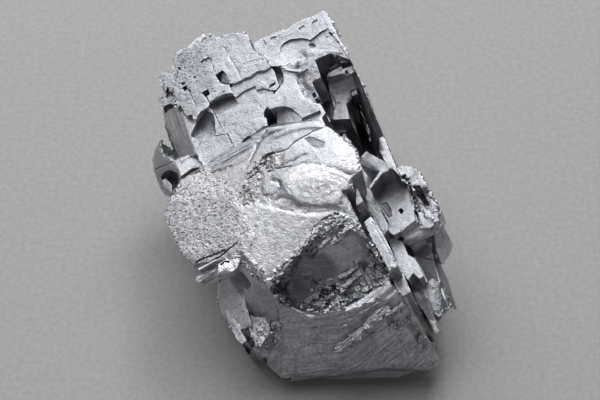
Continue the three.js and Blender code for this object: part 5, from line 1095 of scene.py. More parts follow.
R_G = [(23.62, -16), (26.29, -14.86), (27.81, -16.76), (29.71, -20.19), (29.71, -22.48), (26.67, -23.24), (24.38, -21.71)]
R_F = [(13.71, 0), (16.76, 3.43), (19.43, 6.1), (22.86, 5.71), (24.76, 2.67), (26.67, -1.14), (26.29, -4.19), (22.86, -5.71), (19.81, -7.62), (16, -6.1)]
R_LOBE = [(-28, 7.05), (-27.62, 9.52), (-26.1, 11.05), (-23.24, 9.14), (-22.48, 4.19), (-23.24, 1.52), (-24.76, 0.57), (-26.67, 2.67)]
R_GREEN = [(-26.86, 14.1), (-25.33, 14.29), (-24.57, 12.57), (-24, 10.29), (-23.24, 8.38), (-24.38, 8), (-26.1, 8.76), (-27.05, 11.05)]
R_POCKET = [(-26.48, 11.62), (-25.33, 12), (-23.24, 8.38), (-23.62, 7.62), (-26.1, 8.76)]
R_KNOB = [(25.14, -4.19), (27.05, -3.81), (29.71, -8.76), (28.57, -11.05), (27.05, -12.76), (24.76, -11.81)]
R_LADDER = [(15.62, -19.43), (18.67, -17.14), (20.95, -19.81), (23.62, -24.76), (25.9, -28.19), (26.29, -30.86), (23.62, -31.62), (21.71, -27.81), (19.05, -24.38), (16.38, -22.1)]

R_G_LOW = [(24.76, -20.19), (27.43, -18.67), (28.95, -19.81), (29.71, -21.71), (26.67, -22.86), (24.76, -21.71)]
R_G_FACET = [(23.62, -16), (26.29, -14.86), (27.62, -17.52), (28.38, -19.62), (26.29, -21.33), (24.57, -20.57)]
R_A_LEFT = [(-27.81, 26.67), (-22.86, 28.95), (-18.29, 29.71), (-17.52, 25.52), (-16, 22.1), (-17.9, 19.43), (-20.95, 15.62), (-27.05, 16.38)]

HIDDEN = 1 - VIS
off = np.zeros(len(V))                       # along the vertex normal
lift = np.zeros(len(V))                      # along c
W = {k: where(v, s) for k, v, s in (
    ("front", R_FRONT, .5), ("scoop", R_SCOOP, .4), ("rim", R_RIM, .7), ("rim_l", R_RIM_L, .6), ("hollow", R_HOLLOW, 2.0),
    ("smooth", R_SMOOTH, 2.0), ("cluster", R_CLUSTER, 1.0), ("cluster2", R_CLUSTER_2, .7), ("cubes", R_CUBES_R, .8),
    ("pitted", R_PITTED, .8), ("crumb", R_CRUMB, 1.2), ("crumb2", R_CRUMB_2, .8), ("plateau", R_PLATEAU, .8), ("band", R_BAND, .6),
    ("dent", R_DENT, .35), ("bright", R_BRIGHT, 1.0), ("a", R_A, .3), ("b", R_B, .3), ("b_rough", R_B_ROUGH, .6),
    ("slope", R_SLOPE, .4), ("white", R_WHITE, .4), ("splint", R_SPLINT, .4), ("spark_l", R_SPARK_L, .8), ("left_dark", R_LEFT_DARK, 1.0),
    ("spark_f", R_SPARK_F, .8), ("ribs", R_RIBS, .6), ("g", R_G, .5), ("f", R_F, .4), ("lobe", R_LOBE, .4), ("green", R_GREEN, .4),
    ("pocket", R_POCKET, .3), ("knob", R_KNOB, .4), ("trench", R_TRENCH, 1.0), ("black", R_BLACK, .8), ("e", R_E, .4), ("wedge", R_WEDGE, .5), ("cwall", R_CWALL, .3), ("rimline", R_RIMLINE, .25), ("bar", R_BAR, .4), ("edge1", R_EDGE1, .12), ("tip", R_TIP, .3), ("gl", R_GL, .25), ("spr", R_SPR, .5), ("edge2", R_EDGE2, .12), ("gb", R_GB, .5), ("blob", R_BLOB, .3), ("patch", R_PATCH, 1.0), ("wledge", R_WLEDGE, .4), ("fwall", R_FWALL, .6), ("dwall", R_DWALL, .5), ("cfloor", R_CFLOOR, .6), ("strip", R_STRIP, .3), ("ridge", R_RIDGE, .8), ("gdark", R_GDARK, .6), ("e4", R_E4, .3), ("riblow", R_RIBLOW, .3), ("spf", R_SPF, .6), ("lower", R_LOWER, .35), ("dplate", R_DPLATE, 1.5), ("rib", R_RIB, .4), ("f_back", R_FBACK, .6), ("ladder", R_LADDER, .6), ("g_low", R_G_LOW, .5), ("a_left", R_A_LEFT, 2.0), ("g_facet", R_G_FACET, .8))}
W["scoop"] = W["scoop"] * (1 - W["front"])
W["black"] = W["black"] * (V[:, 2] < -2.6)
W["dwall"] = W["dwall"] * (V[:, 2] < -3)
W["ridge"] = W["ridge"] * W["front"]
print("regions", round(time.time() - T0, 1))

# broad swells first, so that no face is machine-flat
off += .10 * fbm(V * .16, 2, 11) * (1 - .75 * FACE_C) * (1 - edge_near * .3)
off += .022 * fbm(V * .55, 2, 12)

# the swirl plateau: a raised tongue with flow lines, a slope below it, a dent and cracks around it
pl = W["plateau"]
lift += .20 * pl
cx, cy = [(4.19, 2.29)][0]
r = np.hypot((S2[:, 0] - cx) * .8, (S2[:, 1] - cy) * 1.5)
wob = fbm(V * .35, 2, 21)
lift += pl * .050 * np.sin(r * 5.4 + 6.5 * wob + 1.6 * np.arctan2(S2[:, 1] - cy, S2[:, 0] - cx)) * ramp(noise(V * .5, 28), -.35, .25)
lift += -.20 * W["band"] + W["band"] * (.15 * fbm(V * 1.5, 3, 22) + terrace(V, NV, .4, 22, .5) * .35)
lift += -.14 * W["dent"] + W["dent"] * .14 * fbm(V * 2.6, 2, 23)
lift += groove([(11.62, 4.95), (9.52, 5.07), (8.32, 5.3), (6.67, 6.04), (4.86, 6.57), (3.03, 6.86), (0.3, 7.22), (-0.8, 6.5), (-2.44, 6.3), (-4.08, 6.13), (-5.35, 5.75)], .22, .20)
lift += groove([(1.75, 8.86), (0.3, 8.23), (-1.52, 7.41), (-2.99, 6.67), (-4.57, 6.1)], .5, .26)
lift += groove([(-5.62, 4.86), (-5.18, 3.58), (-4.08, 3.58), (-3.81, 2.67), (-4.44, 1.39), (-5.18, 0.84)], .4, .26)
lift += groove([(-6.1, -1.45), (-3.35, -1.81), (-1.16, -2.27), (0.3, -2.63), (2.29, -2.67)], .3, .12)
lift += ledge([(-5.71, 11.43), (-1.9, 13.14), (1.52, 13.83), (4.95, 13.81)], .22, 3.0, .4)
lift += groove([(-18.1, 6.38), (-14.86, 8.1), (-10.86, 10.29), (-7.24, 12.48), (-5.9, 13.52)], .28, .35)
lift += groove([(-18.48, 5.43), (-13.71, 7.52), (-9.52, 10.1), (-6.1, 12.48), (-2.29, 13.71)], .35, .30)
lift += groove([(-17.9, 4.76), (-12.95, 6.48), (-10.29, 8.19), (-8.38, 9.71)], .4, .28)
lift += groove([(-16.76, 7.62), (-12.95, 9.64), (-9.14, 11.7)], .3, .14)
bs = (S2[:, 0] - [(6.29, 9.52)][0][0])
lift += W["bright"] * (.06 * fbm(V * 2.2, 2, 24) + .14 * terrace(V, NV, .45, 24, .5))
for k, (s_, seed_) in {"crumb": (.5, 31), "crumb2": (.42, 32)}.items():
    off += W[k] * (terrace(V, NV, s_, seed_) * .75 + .12 * fbm(V * 1.8, 2, seed_) - .12)
lift += .05 * fbm(V * np.array([.7, 1.6, 1]) , 3, 25) * FACE_C * (1 - W["a"]) * (1 - W["b"]) * VIS

# the fracture: a crumbling rim, a smooth dark hollow, clusters of cleavage cubes, ledges along the crystal
off += W["rim"] * (terrace(V, NV, .52, 41, .45) * .95 + .22 * fbm(V * 1.3, 2, 41))
off += W["rim_l"] * (terrace(V, NV, .46, 42, .45) * .9 + .15 * fbm(V * 1.6, 2, 42))
off += W["hollow"] * (-.35 + .32 * fbm(V * .45, 3, 43) + .08 * fbm(V * 1.6, 2, 43))
off += W["cluster"] * (terrace(V, NV, .8, 44, .5) * .7 + .35 * fbm(V * .7, 2, 44))
off += W["cluster2"] * (terrace(V, NV, .5, 45, .5) * .9 + .2)
off += W["cubes"] * terrace(V, NV, .7, 46, .5) * .9
rest = np.clip(W["scoop"] - W["rim"] - W["rim_l"] - W["hollow"] - W["cluster"] - W["smooth"], 0, 1)
off += rest * (terrace(V, NV, .6, 47, .4) * .55 + .12 * fbm(V * 1.2, 3, 47))
# the striated front: fine growth lines that run level on the left and climb to the right
sx = S2[:, 0]
x0, x1, x2, x3 = [p[0] for p in [(-7.24, 38.1), (-2.67, 38.1), (4.95, 38.1), (12.57, 38.1)]]
slope_l = .95 * (1 - ramp(sx, x0, x1))
slope_r = .78 * ramp(sx, x2, x3)
g = np.where(sx < x1, -.95 * .5 * (x1 - np.minimum(sx, x1)) * (1 + 0 * sx), 0) + np.where(sx > x2, .78 * (np.clip(sx - x2, 0, x3 - x2) ** 2 / (2 * (x3 - x2)) + np.clip(sx - x3, 0, 99)), 0)
phi = S2[:, 1] - g + .5 * fbm(V * .12, 2, 51)
fr = W["front"] * (1 - W["spark_f"])
off += W["smooth"] * (.10 * fbm(np.stack([phi * 1.1, sx * .12, 0 * sx + 4], 1), 3, 48) + .28 * fbm(V * .35, 2, 48))
off += W["f_back"] * (.20 * fbm(V * .9, 3, 49) + .45 * terrace(V, NV, .7, 49, .5))
fine = np.stack([phi * 2.6, sx * .22, 0 * sx], 1)
saw = fbm(np.stack([phi * 1.25, sx * .13, 0 * sx], 1), 2, 52)
off += fr * (.20 * (1 - 2 * abs(saw)) * ramp(fbm(np.stack([phi * .3, sx * .2, 0 * sx + 5], 1), 2, 53), -.5, .3) + .06 * noise(np.stack([phi * 2.4, sx * .2, 0 * sx + 3], 1), 53))
off += fr * .20 * fbm(np.stack([phi * .45, sx * .12, 0 * sx + 9], 1), 2, 54)
off += W["spark_f"] * (terrace(V, NV, .5, 59, .5) * .95 + .15 * fbm(V * 1.5, 2, 59))
off += W["spark_l"] * (terrace(V, NV, .42, 60, .5) * .9)
off += W["left_dark"] * .12 * fbm(V * np.array([1.2, .5, .5]), 3, 61)
off += W["splint"] * .12 * fbm(V * np.array([.6, 2.4, 2.4]), 2, 62)
off += W["ridge"] * .06 * fbm(V * 1.4, 2, 65)
off += W["ribs"] * .08 * fbm(V * np.array([.5, 1.4, 1.0]), 3, 64)

# plates of the two upper blocks: faint plateaus, grain and wear; rougher where the plate has broken away
ab = np.clip(W["a"] + W["b"], 0, 1) * FACE_C
step = np.floor(fbm(V[:, [0, 1, 2]] * np.array([.16, .16, 0]), 3, 71) * 3.2 + .5) * .05
off += ab * step
off += ab * .028 * fbm(V * 1.1, 3, 72)
off += W["b_rough"] * (.16 * fbm(V * 1.2, 3, 73) + .5 * terrace(V, NV, .5, 73, .4) * .5)
lift += groove([(1.3, 28.38), (0.57, 26.67), (-0.08, 24.63), (0.19, 22.48), (1.14, 20.57), (2.1, 19.05)], 1.4, .42)
across = S2[:, 0] * .95 + S2[:, 1] * .316
off += W["slope"] * (.16 * fbm(np.stack([across * 1.3, S2[:, 1] * .12, 0 * across], 1), 3, 74) - .05)
off += W["f"] * (.05 * fbm(V * 1.3, 2, 75)) + W["g"] * (1 - W["g_facet"]) * (.16 * fbm(V * 1.1, 3, 76) + terrace(V, NV, .6, 76, .5) * .4) + W["g_facet"] * .2 * fbm(V * np.array([.3, .8, .3]), 2, 77)
off += W["knob"] * .14 * fbm(V * .9, 3, 77)
off += W["lobe"] * .07 * fbm(V * 1.1, 3, 78)
off += W["green"] * np.clip(fbm(V * 1.7, 3, 79), -.1, 1) * .55 + W["pocket"] * -.35

# corroded pits: single small dimples, thick on the left plate and thin elsewhere
pit = np.zeros(len(V))
for name_, share, depth in (("pitted", .04, .14), ("a", .012, .10), ("crumb", .05, .2), ("left_dark", .02, .10), ("ribs", .02, .10), ("a_left", .02, .12)):
    pick = (rng.random(len(V)) < share * W[name_]) & (NV[:, 2] > .6) & (edge_near < .2)
    pit[pick] = np.maximum(pit[pick], depth * rng.uniform(.5, 1.2, pick.sum()))
rest_pick = (rng.random(len(V)) < .004) & (VIS > 0) & (FACE_C > .5)
pit[rest_pick] = .15
off -= pit + around(pit) * .3

# sides out of sight: crystal faces with low growth steps
hid = HIDDEN * (1 - on_base)
off += hid * .09 * fbm(V * .5, 3, 81) + hid * np.floor(fbm(V * .22, 2, 82) * 4 + .5) * .07
brk = ramp(fbm(V * .09, 2, 83), .12, .3) * hid
off += brk * terrace(V, NV, 1.0, 84, .4) * .6

# edges: nicked here and there, then softened a little
chip = np.clip(fbm(V * .8, 3, 91) - .05, 0, 1) + .6 * np.clip(noise(V * 2.4, 92) - .2, 0, 1)
off -= edge_near * chip * .20
off = off * (1 - on_base) * np.where(base < 1.5, ramp(base, 0, 1.5) * .8 + .2, 1)
lift = lift * (1 - on_base)
X = V + NV * off[:, None] + np.array([0, 0, 1.0]) * (lift * ramp(NV[:, 2], .3, .7))[:, None]
soft = .10 * np.clip(edge_on + .35 * around(edge_on), 0, 1) + .03
for _ in range(2):
    X = X + (around(X) - X) * (soft * (1 - on_base))[:, None]
melt = .55 * np.clip(W["hollow"] + W["smooth"] + .9 * where([(-5.71, -22.1), (-1.52, -22.1), (-1.52, -32.76), (-6.48, -31.24), (-8.38, -28.57), (-7.24, -24.76)], 1.5), 0, 1) * (1 - W["spark_f"])
for _ in range(7):
    X = X + (around(X) - X) * melt[:, None]
keep_z = to_world(X)
keep_z[:, 2] = np.maximum(keep_z[:, 2], 0)
keep_z[on_base, 2] = 0
lo, hi = np.array(CAD_BOX[0]) * 1000 - .3, np.array(CAD_BOX[1]) * 1000 + .3
lo[2] = 0
keep_z = np.clip(keep_z, lo, hi)
print("worked", round(time.time() - T0, 1), "largest move", round(float(np.abs(off).max()), 2))

# ---- the visible piece --------------------------------------------------------------------
me = bpy.data.meshes.new("galena_crystals")
me.from_pydata((keep_z / 1000).tolist(), [], F.tolist())
me.validate()
bm = bmesh.new()
bm.from_mesh(me)
gaps = [e for e in bm.edges if e.is_boundary]
made = bmesh.ops.holes_fill(bm, edges=gaps, sides=0)["faces"] if gaps else []
bmesh.ops.triangulate(bm, faces=made)
print("open edges", len(gaps), "faces made", len(made), "left", sum(e.is_boundary for e in bm.edges), "vertices", len(bm.verts) == len(V))
bm.to_mesh(me)
bm.free()
me.validate()
me.update()
bpy.data.objects.remove(body)
piece = bpy.data.objects.new("galena_crystals", me)
bpy.context.scene.collection.objects.link(piece)
for p_ in me.polygons:
    p_.use_smooth = True
me.set_sharp_from_angle(angle=math.radians(27))
inner = np.clip(W["scoop"] - W["rim"] * .7, 0, 1)
sparkle = np.clip(W["rim"] + W["rim_l"] + W["cluster"] + W["cluster2"] + W["cubes"] + W["spark_f"] + W["spark_l"] + .6 * rest + W["white"] + .5 * W["crumb"] + .6 * W["g"], 0, 1)
dull = np.clip(W["pitted"] * .2 + W["band"] * .6 + W["front"] * .6 + W["b_rough"] * .4 + W["ribs"] * .3, 0, 1)
warm = np.clip(W["crumb"] * .9 + W["crumb2"] * .3 + .35 * where([(-18.29, 5.33), (-9.52, 9.52), (-7.24, 7.62), (-9.52, 0.76), (-12.19, 0), (-16.38, 2.67)], 2.0), 0, 1)
pitted = np.clip(W["pitted"] + .45 * W["a_left"] + .18 * W["a"] + .35 * W["crumb"] + .3 * W["left_dark"] + .45 * W["ribs"] + .12 * HIDDEN, 0, 1)
# lighter metal where cleavage is fresh, and painted highlight: blown-out patches, bright plates and ledges, and the
# up-facing facets of the front are painted light
fresh_and_highlight = np.clip(.85 * W["bright"] + .8 * W["edge1"] + .6 * W["edge2"] + W["blob"] + W["white"] + .70 * W["plateau"] + .8 * W["dplate"] + .55 * W["pitted"] + .65 * W["band"] + .4 * W["slope"] + .5 * W["dwall"] + .95 * W["rib"] * (1 - W["riblow"]) + .65 * W["smooth"] + 1.0 * W["cfloor"] + 1.0 * np.maximum(W["ridge"], .7 * W["front"]) * ramp(NV[:, 2], .6, .85) + .5 * where([(-21.71, 12.95), (-20.95, 12.76), (-19.43, 9.14), (-20.19, 8.76)], .3)
                + .4 * where([(-24, 7.62), (-20, 9.14), (-18.67, 6.29), (-22.86, 4.57)], .3) + .12 * where([(-2.29, 14.1), (4.19, 14.1), (9.9, 11.05), (10.67, 6.1), (4.19, 7.05), (-0.76, 7.62), (-4.57, 6.48), (-7.24, 9.52)], 2.0), 0, 1)
# painted shade: trenches, pockets, hollows, the scoop, dents, faces turned from the light and the plates of the two
# upper blocks are painted darker
dark = np.clip(.42 * W["a_left"] + 1.0 * W["pocket"] + .70 * W["hollow"] + .35 * inner + .3 * W["left_dark"] * (1 - W["rib"]) + .8 * W["trench"] + .9 * W["strip"] + .44 * W["e"] + .8 * W["tip"] + .5 * W["wedge"] + .7 * W["cwall"] + 1.0 * W["bar"] * (1 - W["edge1"]) + .5 * W["fwall"] + .17 * (W["a"] + W["b"]) * FACE_C + .95 * W["gdark"] + .7 * W["e4"] + .5 * W["riblow"] + .85 * W["spf"] + .6 * W["lower"] + .95 * W["dent"]
               + .2 * W["f_back"] + .4 * where([(-27.05, 5.33), (-25.9, 6.48), (-23.62, 5.52), (-22.86, 3.43), (-24.76, 1.52), (-26.67, 2.29)], .5), 0, 1) * (1 - W["smooth"])
top_ = ramp(NV[:, 2], .5, .8)
crushed = np.clip(.35 * W["ridge"] * top_ + .4 * W["edge1"] + .4 * W["edge2"] + .6 * W["blob"] + .35 * W["patch"] + .7 * W["gl"] + .5 * W["spr"] + .65 * W["rib"] * (1 - W["riblow"]) + .30 * W["rim_l"] + .15 * W["rim"] + .35 * W["spark_l"]
                  + .85 * W["cfloor"] + .2 * W["lobe"] + .15 * W["left_dark"] + .95 * W["wledge"] + .35 * W["f_back"] * ramp(fbm(V * .9, 2, 67), -.1, .2) + .18 * W["slope"] + .15 * W["dwall"] + .12 * W["smooth"], 0, 1)
# painted highlight: lighter colour along convex edges, standing for the glint of light on them
edge = np.clip(edge_near * .5 + edge_on * .5, 0, 1)


def attribute(mesh, name_, *chan):
    a = mesh.attributes.new(name_, "FLOAT_COLOR", "POINT")
    data = np.ones((len(chan[0]), 4), np.float32)
    for i, c_ in enumerate(chan):
        data[:, i] = c_
    a.data.foreach_set("color", data.ravel())


attribute(me, "zones", sparkle, dull, warm)
attribute(me, "zones_2", W["green"], pitted, edge)
# zones_4: painted black shade in the deep trench, along its rim and on part of the lower right end (red), crushed
# rubble (green)
attribute(me, "zones_4", np.clip(W["black"] + .75 * W["rimline"] + .5 * W["gb"] * (1 - W["blob"]), 0, 1), crushed, 0 * sx)
# zones_3: fresh metal and painted highlight, painted shade, and where the front streaks of painted light and shade go
attribute(me, "zones_3", fresh_and_highlight, dark, np.clip(fr * (1 - .8 * ramp(NV[:, 2], .6, .85)) + .75 * W["slope"] + .6 * W["smooth"] + .25 * W["hollow"], 0, 1))
flow = np.where((W["slope"] > .5)[:, None], np.stack([across * 1.1, S2[:, 1] * .06, 0 * sx + 7], 1), np.stack([phi, sx * .08, 0 * sx], 1))
a_ = me.attributes.new("flow", "FLOAT_VECTOR", "POINT")
a_.data.foreach_set("vector", flow.astype(np.float32).ravel())

# ---- small broken cubes, past what the net of the body can hold --------------------------------
grains = []
area_ = np.ones(len(V))
for region_, count, lo_, hi_, tilt, sink in (
        (W["rim"] * (1 - W["smooth"]), 620, .18, .42, 14, .1), (W["rim_l"], 420, .25, .6, 24, -.2), (W["cluster"], 70, .25, .55, 10, .1), (W["cluster2"], 50, .25, .5, 14, .1), (W["ridge"], 70, .14, .28, 16, .15),
        (W["cubes"], 60, .3, .6, 10, .1), (rest * (1 - W["smooth"]), 90, .18, .42, 12, .15), (W["spark_f"], 300, .18, .38, 25, .15), (W["spark_l"], 170, .18, .36, 25, .1),
        (W["crumb"], 150, .18, .38, 14, .2), (W["crumb2"], 40, .18, .36, 14, .2), (W["band"], 60, .18, .34, 10, .25), 
        (W["bright"], 12, .18, .3, 16, .2), (W["g_low"], 22, .25, .5, 10, .15), (brk * (base > 3), 420, .35, .9, 8, .3)):
    p_ = np.clip(region_ - .35, 0, 1) * area_ * (base > 1.2)
    if p_.sum() <= 0:
        continue
    for v_ in rng.choice(len(V), count, p=p_ / p_.sum()):
        half = rng.uniform(lo_, hi_) / 2 * rng.uniform(.6, 1.25, 3)
        at = X[v_] + NV[v_] * (half.min() * rng.uniform(-.2, .55) - sink * .4)
        grains.append(box_mesh(at, half, turned(rng, tilt)))
# slivers that run along the growth direction of the front, with one face up
ALONG, UPWARD = AX @ np.array([.861, .363, .355]), AX @ np.array([-.133, -.507, .849])
seen_v = np.where(VIS > .5)[0]
rs = np.random.default_rng(71)
n_plain = len(grains)


def sliver(s, t, length, width, rise, wild=.06):
    v_ = seen_v[np.argmin(((S2[seen_v] - (s, t)) ** 2).sum(1))]
    a_ = ALONG + rs.normal(0, wild, 3)
    a_ /= np.linalg.norm(a_)
    n_ = UPWARD + rs.normal(0, wild, 3)
    n_ -= a_ * (n_ @ a_)
    n_ /= np.linalg.norm(n_)
    grains.append(box_mesh(X[v_] + NV[v_] * rs.uniform(.0, .14), np.array([length, width, rise]) / 2, np.stack([a_, np.cross(n_, a_), n_], 1)))


def row(start, end, over, count, length, width, wild=.06):
    """Slivers strewn along a sighted line, up to `over` mm to either side of it."""
    start, end = np.array(start), np.array(end)
    d = (end - start) / np.linalg.norm(end - start)
    for i in range(count):
        p = start + (end - start) * ((i + rs.uniform(.1, .9)) / count) + np.array([-d[1], d[0]]) * rs.uniform(-over, over)
        sliver(*p, rs.uniform(*length), rs.uniform(*width), rs.uniform(.26, .44), wild)


for line_, over_, count_, length_, width_, wild_ in (
        ([(7.05, -28.38), (12.19, -24.38)], .50, 20, (.7, 1.6), (.20, .38), .07),
        ([(9.14, -28), (14.67, -24.95)], .30, 26, (.25, .6), (.25, .42), .25),
        ([(12.95, -23.24), (16.57, -20.38)], .55, 14, (.7, 1.6), (.20, .36), .06),
        ([(16, -22.48), (17.14, -21.33)], .20, 6, (.7, 1.1), (.30, .44), .08),
        ([(17.33, -21.9), (18.48, -20.57)], .22, 6, (.7, 1.1), (.28, .40), .08),
        ([(18.48, -21.33), (19.81, -20)], .22, 6, (.7, 1.2), (.24, .36), .08),
        ([(16.76, -24.19), (19.81, -24.38)], .45, 26, (.25, .6), (.22, .40), .30),
        ([(20.95, -22.29), (21.64, -23.24)], .12, 4, (.4, .6), (.35, .50), .10)):
    row(line_[0], line_[1], over_, count_, length_, width_, wild_)
GV, GF = join(grains)
GW = np.clip(to_world(GV), lo, hi)
g_me = bpy.data.meshes.new("galena_small_cubes")
g_me.from_pydata((GW / 1000).tolist(), [], GF.tolist())
g_me.update()
small_cubes = bpy.data.objects.new("galena_small_cubes", g_me)
bpy.context.scene.collection.objects.link(small_cubes)
# each small cube at random: some painted lighter as highlight, some painted darker as shade, and all given the painted
# edge highlight
one = rng.random(len(grains))
one[n_plain:] = .55 + .45 * one[n_plain:]
one = np.repeat(one, 8)
attribute(g_me, "zones", .8 + 0 * one, .2 * (1 - one), .0 * one)
attribute(g_me, "zones_2", 0 * one, 0 * one, .6 * one)
attribute(g_me, "zones_4", 0 * one, .30 * (one > .35), 0 * one)
attribute(g_me, "zones_3", np.clip(one * 1.6 - 1.2, 0, .5), .8 * (one < .5) + .35 * ((one > .5) & (one < .65)), 0 * one)
a_ = g_me.attributes.new("flow", "FLOAT_VECTOR", "POINT")
a_.data.foreach_set("vector", (GV * .5).astype(np.float32).ravel())
print("grains", len(grains), len(GF), round(time.time() - T0, 1))


# ---- studio and tone -------------------------------------------------------------------------
BASE_DARK, BASE_LIGHT = (.51, .52, .56), (.66, .67, .70)
ROUGH = (.26, .40)
FLOOR = ((.485, .485, .475), (.56, .56, .55))
BUMP = (.8, .00020)
WORLD = (.095, (1.0, 1.0, 1.02))
LIGHTS = (
    ("overhead", (-.17, .41, .70), (0, 0, .02), .95, 5.4, (1, 1, 1.02), .95),
    ("key", (.20, .58, .62), (0, 0, .02), .28, 1.6, (1, 1, 1), .28),
    ("top_front", (-.20, -.22, .74), (0, -.02, .02), .15, .15, (1, 1, 1), .15),
    ("front_fill", (.1, -1.2, .35), (0, 0, .02), .5, .38, (1, 1, 1), .3),
)


# ---- materials ------------------------------------------------------------------------------
def material(name_):
    m = bpy.data.materials.new(name_)
    m.use_nodes = True
    nt = m.node_tree
    return m, nt, nt.nodes, nt.links, nt.nodes["Principled BSDF"]


def node(nt, kind, **kw):
    n = nt.nodes.new(kind)
    for k, v in kw.items():
        if k == "inputs":
            for i, x in v.items():
                n.inputs[i].default_value = x
        else:
            setattr(n, k, v)
    return n


def noise_node(nt, coord, scale, detail=3, rough=.55, dist=0.0):
    n = node(nt, "ShaderNodeTexNoise", inputs={"Scale": scale, "Detail": detail, "Roughness": rough, "Distortion": dist})
    nt.links.new(coord, n.inputs["Vector"])
    return n.outputs["Fac"]


def math_node(nt, op, a, b=None, clamp=False):
    n = node(nt, "ShaderNodeMath", operation=op, use_clamp=clamp)
    for i, x in enumerate((a, b)):
        if x is None:
            continue
        if isinstance(x, (int, float)):
            n.inputs[i].default_value = x
        else:
            nt.links.new(x, n.inputs[i])
    return n.outputs[0]


def range_node(nt, x, a, b, c, d):
    n = node(nt, "ShaderNodeMapRange", clamp=True, inputs={1: a, 2: b, 3: c, 4: d})
    nt.links.new(x, n.inputs[0])
    return n.outputs[0]


def mix_colour(nt, fac, a, b, blend="MIX"):
    n = node(nt, "ShaderNodeMix", data_type="RGBA", blend_type=blend)
    for i, x in ((0, fac), (6, a), (7, b)):
        if isinstance(x, (int, float)):
            n.inputs[i].default_value = x
        elif isinstance(x, tuple):
            n.inputs[i].default_value = (*x, 1)
        else:
            nt.links.new(x, n.inputs[i])
    return n.outputs[2]


galena, nt, nodes, links, bsdf = material("lead_grey_galena")
co = node(nt, "ShaderNodeTexCoord").outputs["Object"]
z1 = node(nt, "ShaderNodeAttribute", attribute_name="zones")
z2 = node(nt, "ShaderNodeAttribute", attribute_name="zones_2")
s1 = node(nt, "ShaderNodeSeparateColor")
s2 = node(nt, "ShaderNodeSeparateColor")
links.new(z1.outputs["Color"], s1.inputs[0])
links.new(z2.outputs["Color"], s2.inputs[0])
sparkle_, dull_, warm_ = s1.outputs
green_, pitted_, edge_ = s2.outputs
s3 = node(nt, "ShaderNodeSeparateColor")
links.new(node(nt, "ShaderNodeAttribute", attribute_name="zones_3").outputs["Color"], s3.inputs[0])
fresh_and_highlight_, dark_, front_ = s3.outputs
s4 = node(nt, "ShaderNodeSeparateColor")
links.new(node(nt, "ShaderNodeAttribute", attribute_name="zones_4").outputs["Color"], s4.inputs[0])
black_, crushed_ = s4.outputs[0], s4.outputs[1]
flow_ = node(nt, "ShaderNodeAttribute", attribute_name="flow").outputs["Vector"]
# tone: broad bloom, small tarnish clouds and a fine grain
bloom = noise_node(nt, co, 90, 3, .6)
cloud = noise_node(nt, co, 420, 4, .62)
grain = noise_node(nt, co, 3600, 3, .75)
tone = range_node(nt, bloom, .35, .68, 0, 1)
col = mix_colour(nt, tone, BASE_DARK, BASE_LIGHT)
col = mix_colour(nt, range_node(nt, cloud, .45, .75, 0, .30), col, (.36, .37, .41))
col = mix_colour(nt, range_node(nt, grain, .52, .64, 0, .5), col, (.26, .265, .29))
col = mix_colour(nt, math_node(nt, "MULTIPLY", dull_, .35), col, (.33, .335, .36))
speck_at = node(nt, "ShaderNodeVectorMath", operation="MULTIPLY", inputs={1: (.8, 1.5, 1.5)})
links.new(co, speck_at.inputs[0])
specks = range_node(nt, noise_node(nt, speck_at.outputs[0], 1600, 3, .5), .585, .625, 0, 1)
pit_mask = math_node(nt, "MULTIPLY", specks, pitted_)
# painted shade from the dark mask
col = mix_colour(nt, math_node(nt, "MULTIPLY", dark_, .85), col, (.19, .195, .22))
# painted highlight along convex edges, made patchy by the cloud noise
col = mix_colour(nt, math_node(nt, "MULTIPLY", edge_, range_node(nt, cloud, .4, .6, .1, .55)), col, (.80, .81, .83))
# fresh metal and painted highlight: near-white where the mask says, broken up by noise
broken = range_node(nt, noise_node(nt, co, 1000, 3, .65), .40, .56, .3, 1)
col = mix_colour(nt, math_node(nt, "MULTIPLY", fresh_and_highlight_, broken), col, (.93, .93, .95))
col = mix_colour(nt, math_node(nt, "MULTIPLY", pit_mask, .72), col, (.07, .07, .085))
# painted highlight and painted shade along the growth lines of the front: light and dark streaks, and light specks of
# grit
streak = noise_node(nt, flow_, 2.6, 4, .7)
col = mix_colour(nt, math_node(nt, "MULTIPLY", front_, range_node(nt, streak, .50, .66, 0, .8)), col, (.92, .93, .96))
col = mix_colour(nt, math_node(nt, "MULTIPLY", front_, range_node(nt, streak, .48, .34, 0, .75)), col, (.20, .205, .225))
grit = noise_node(nt, co, 1700, 4, .75)
col = mix_colour(nt, math_node(nt, "MULTIPLY", front_, range_node(nt, grit, .53, .66, 0, .7)), col, (.95, .96, .98))
col = mix_colour(nt, range_node(nt, grit, .47, .36, 0, .45), col, (.22, .225, .25))
crush_mask = math_node(nt, "MULTIPLY", crushed_, range_node(nt, noise_node(nt, co, 1300, 3, .65), .38, .58, .35, 1))
col = mix_colour(nt, math_node(nt, "MULTIPLY", crush_mask, .8), col, (.86, .87, .89))
warm_mask = math_node(nt, "MULTIPLY", warm_, range_node(nt, noise_node(nt, co, 1500, 3, .7), .45, .6, 0, .7))
col = mix_colour(nt, warm_mask, col, (.42, .34, .25))
green_mask = math_node(nt, "MULTIPLY", green_, range_node(nt, noise_node(nt, co, 900, 3, .6), .38, .56, .15, .9))
col = mix_colour(nt, green_mask, col, (.13, .18, .135))
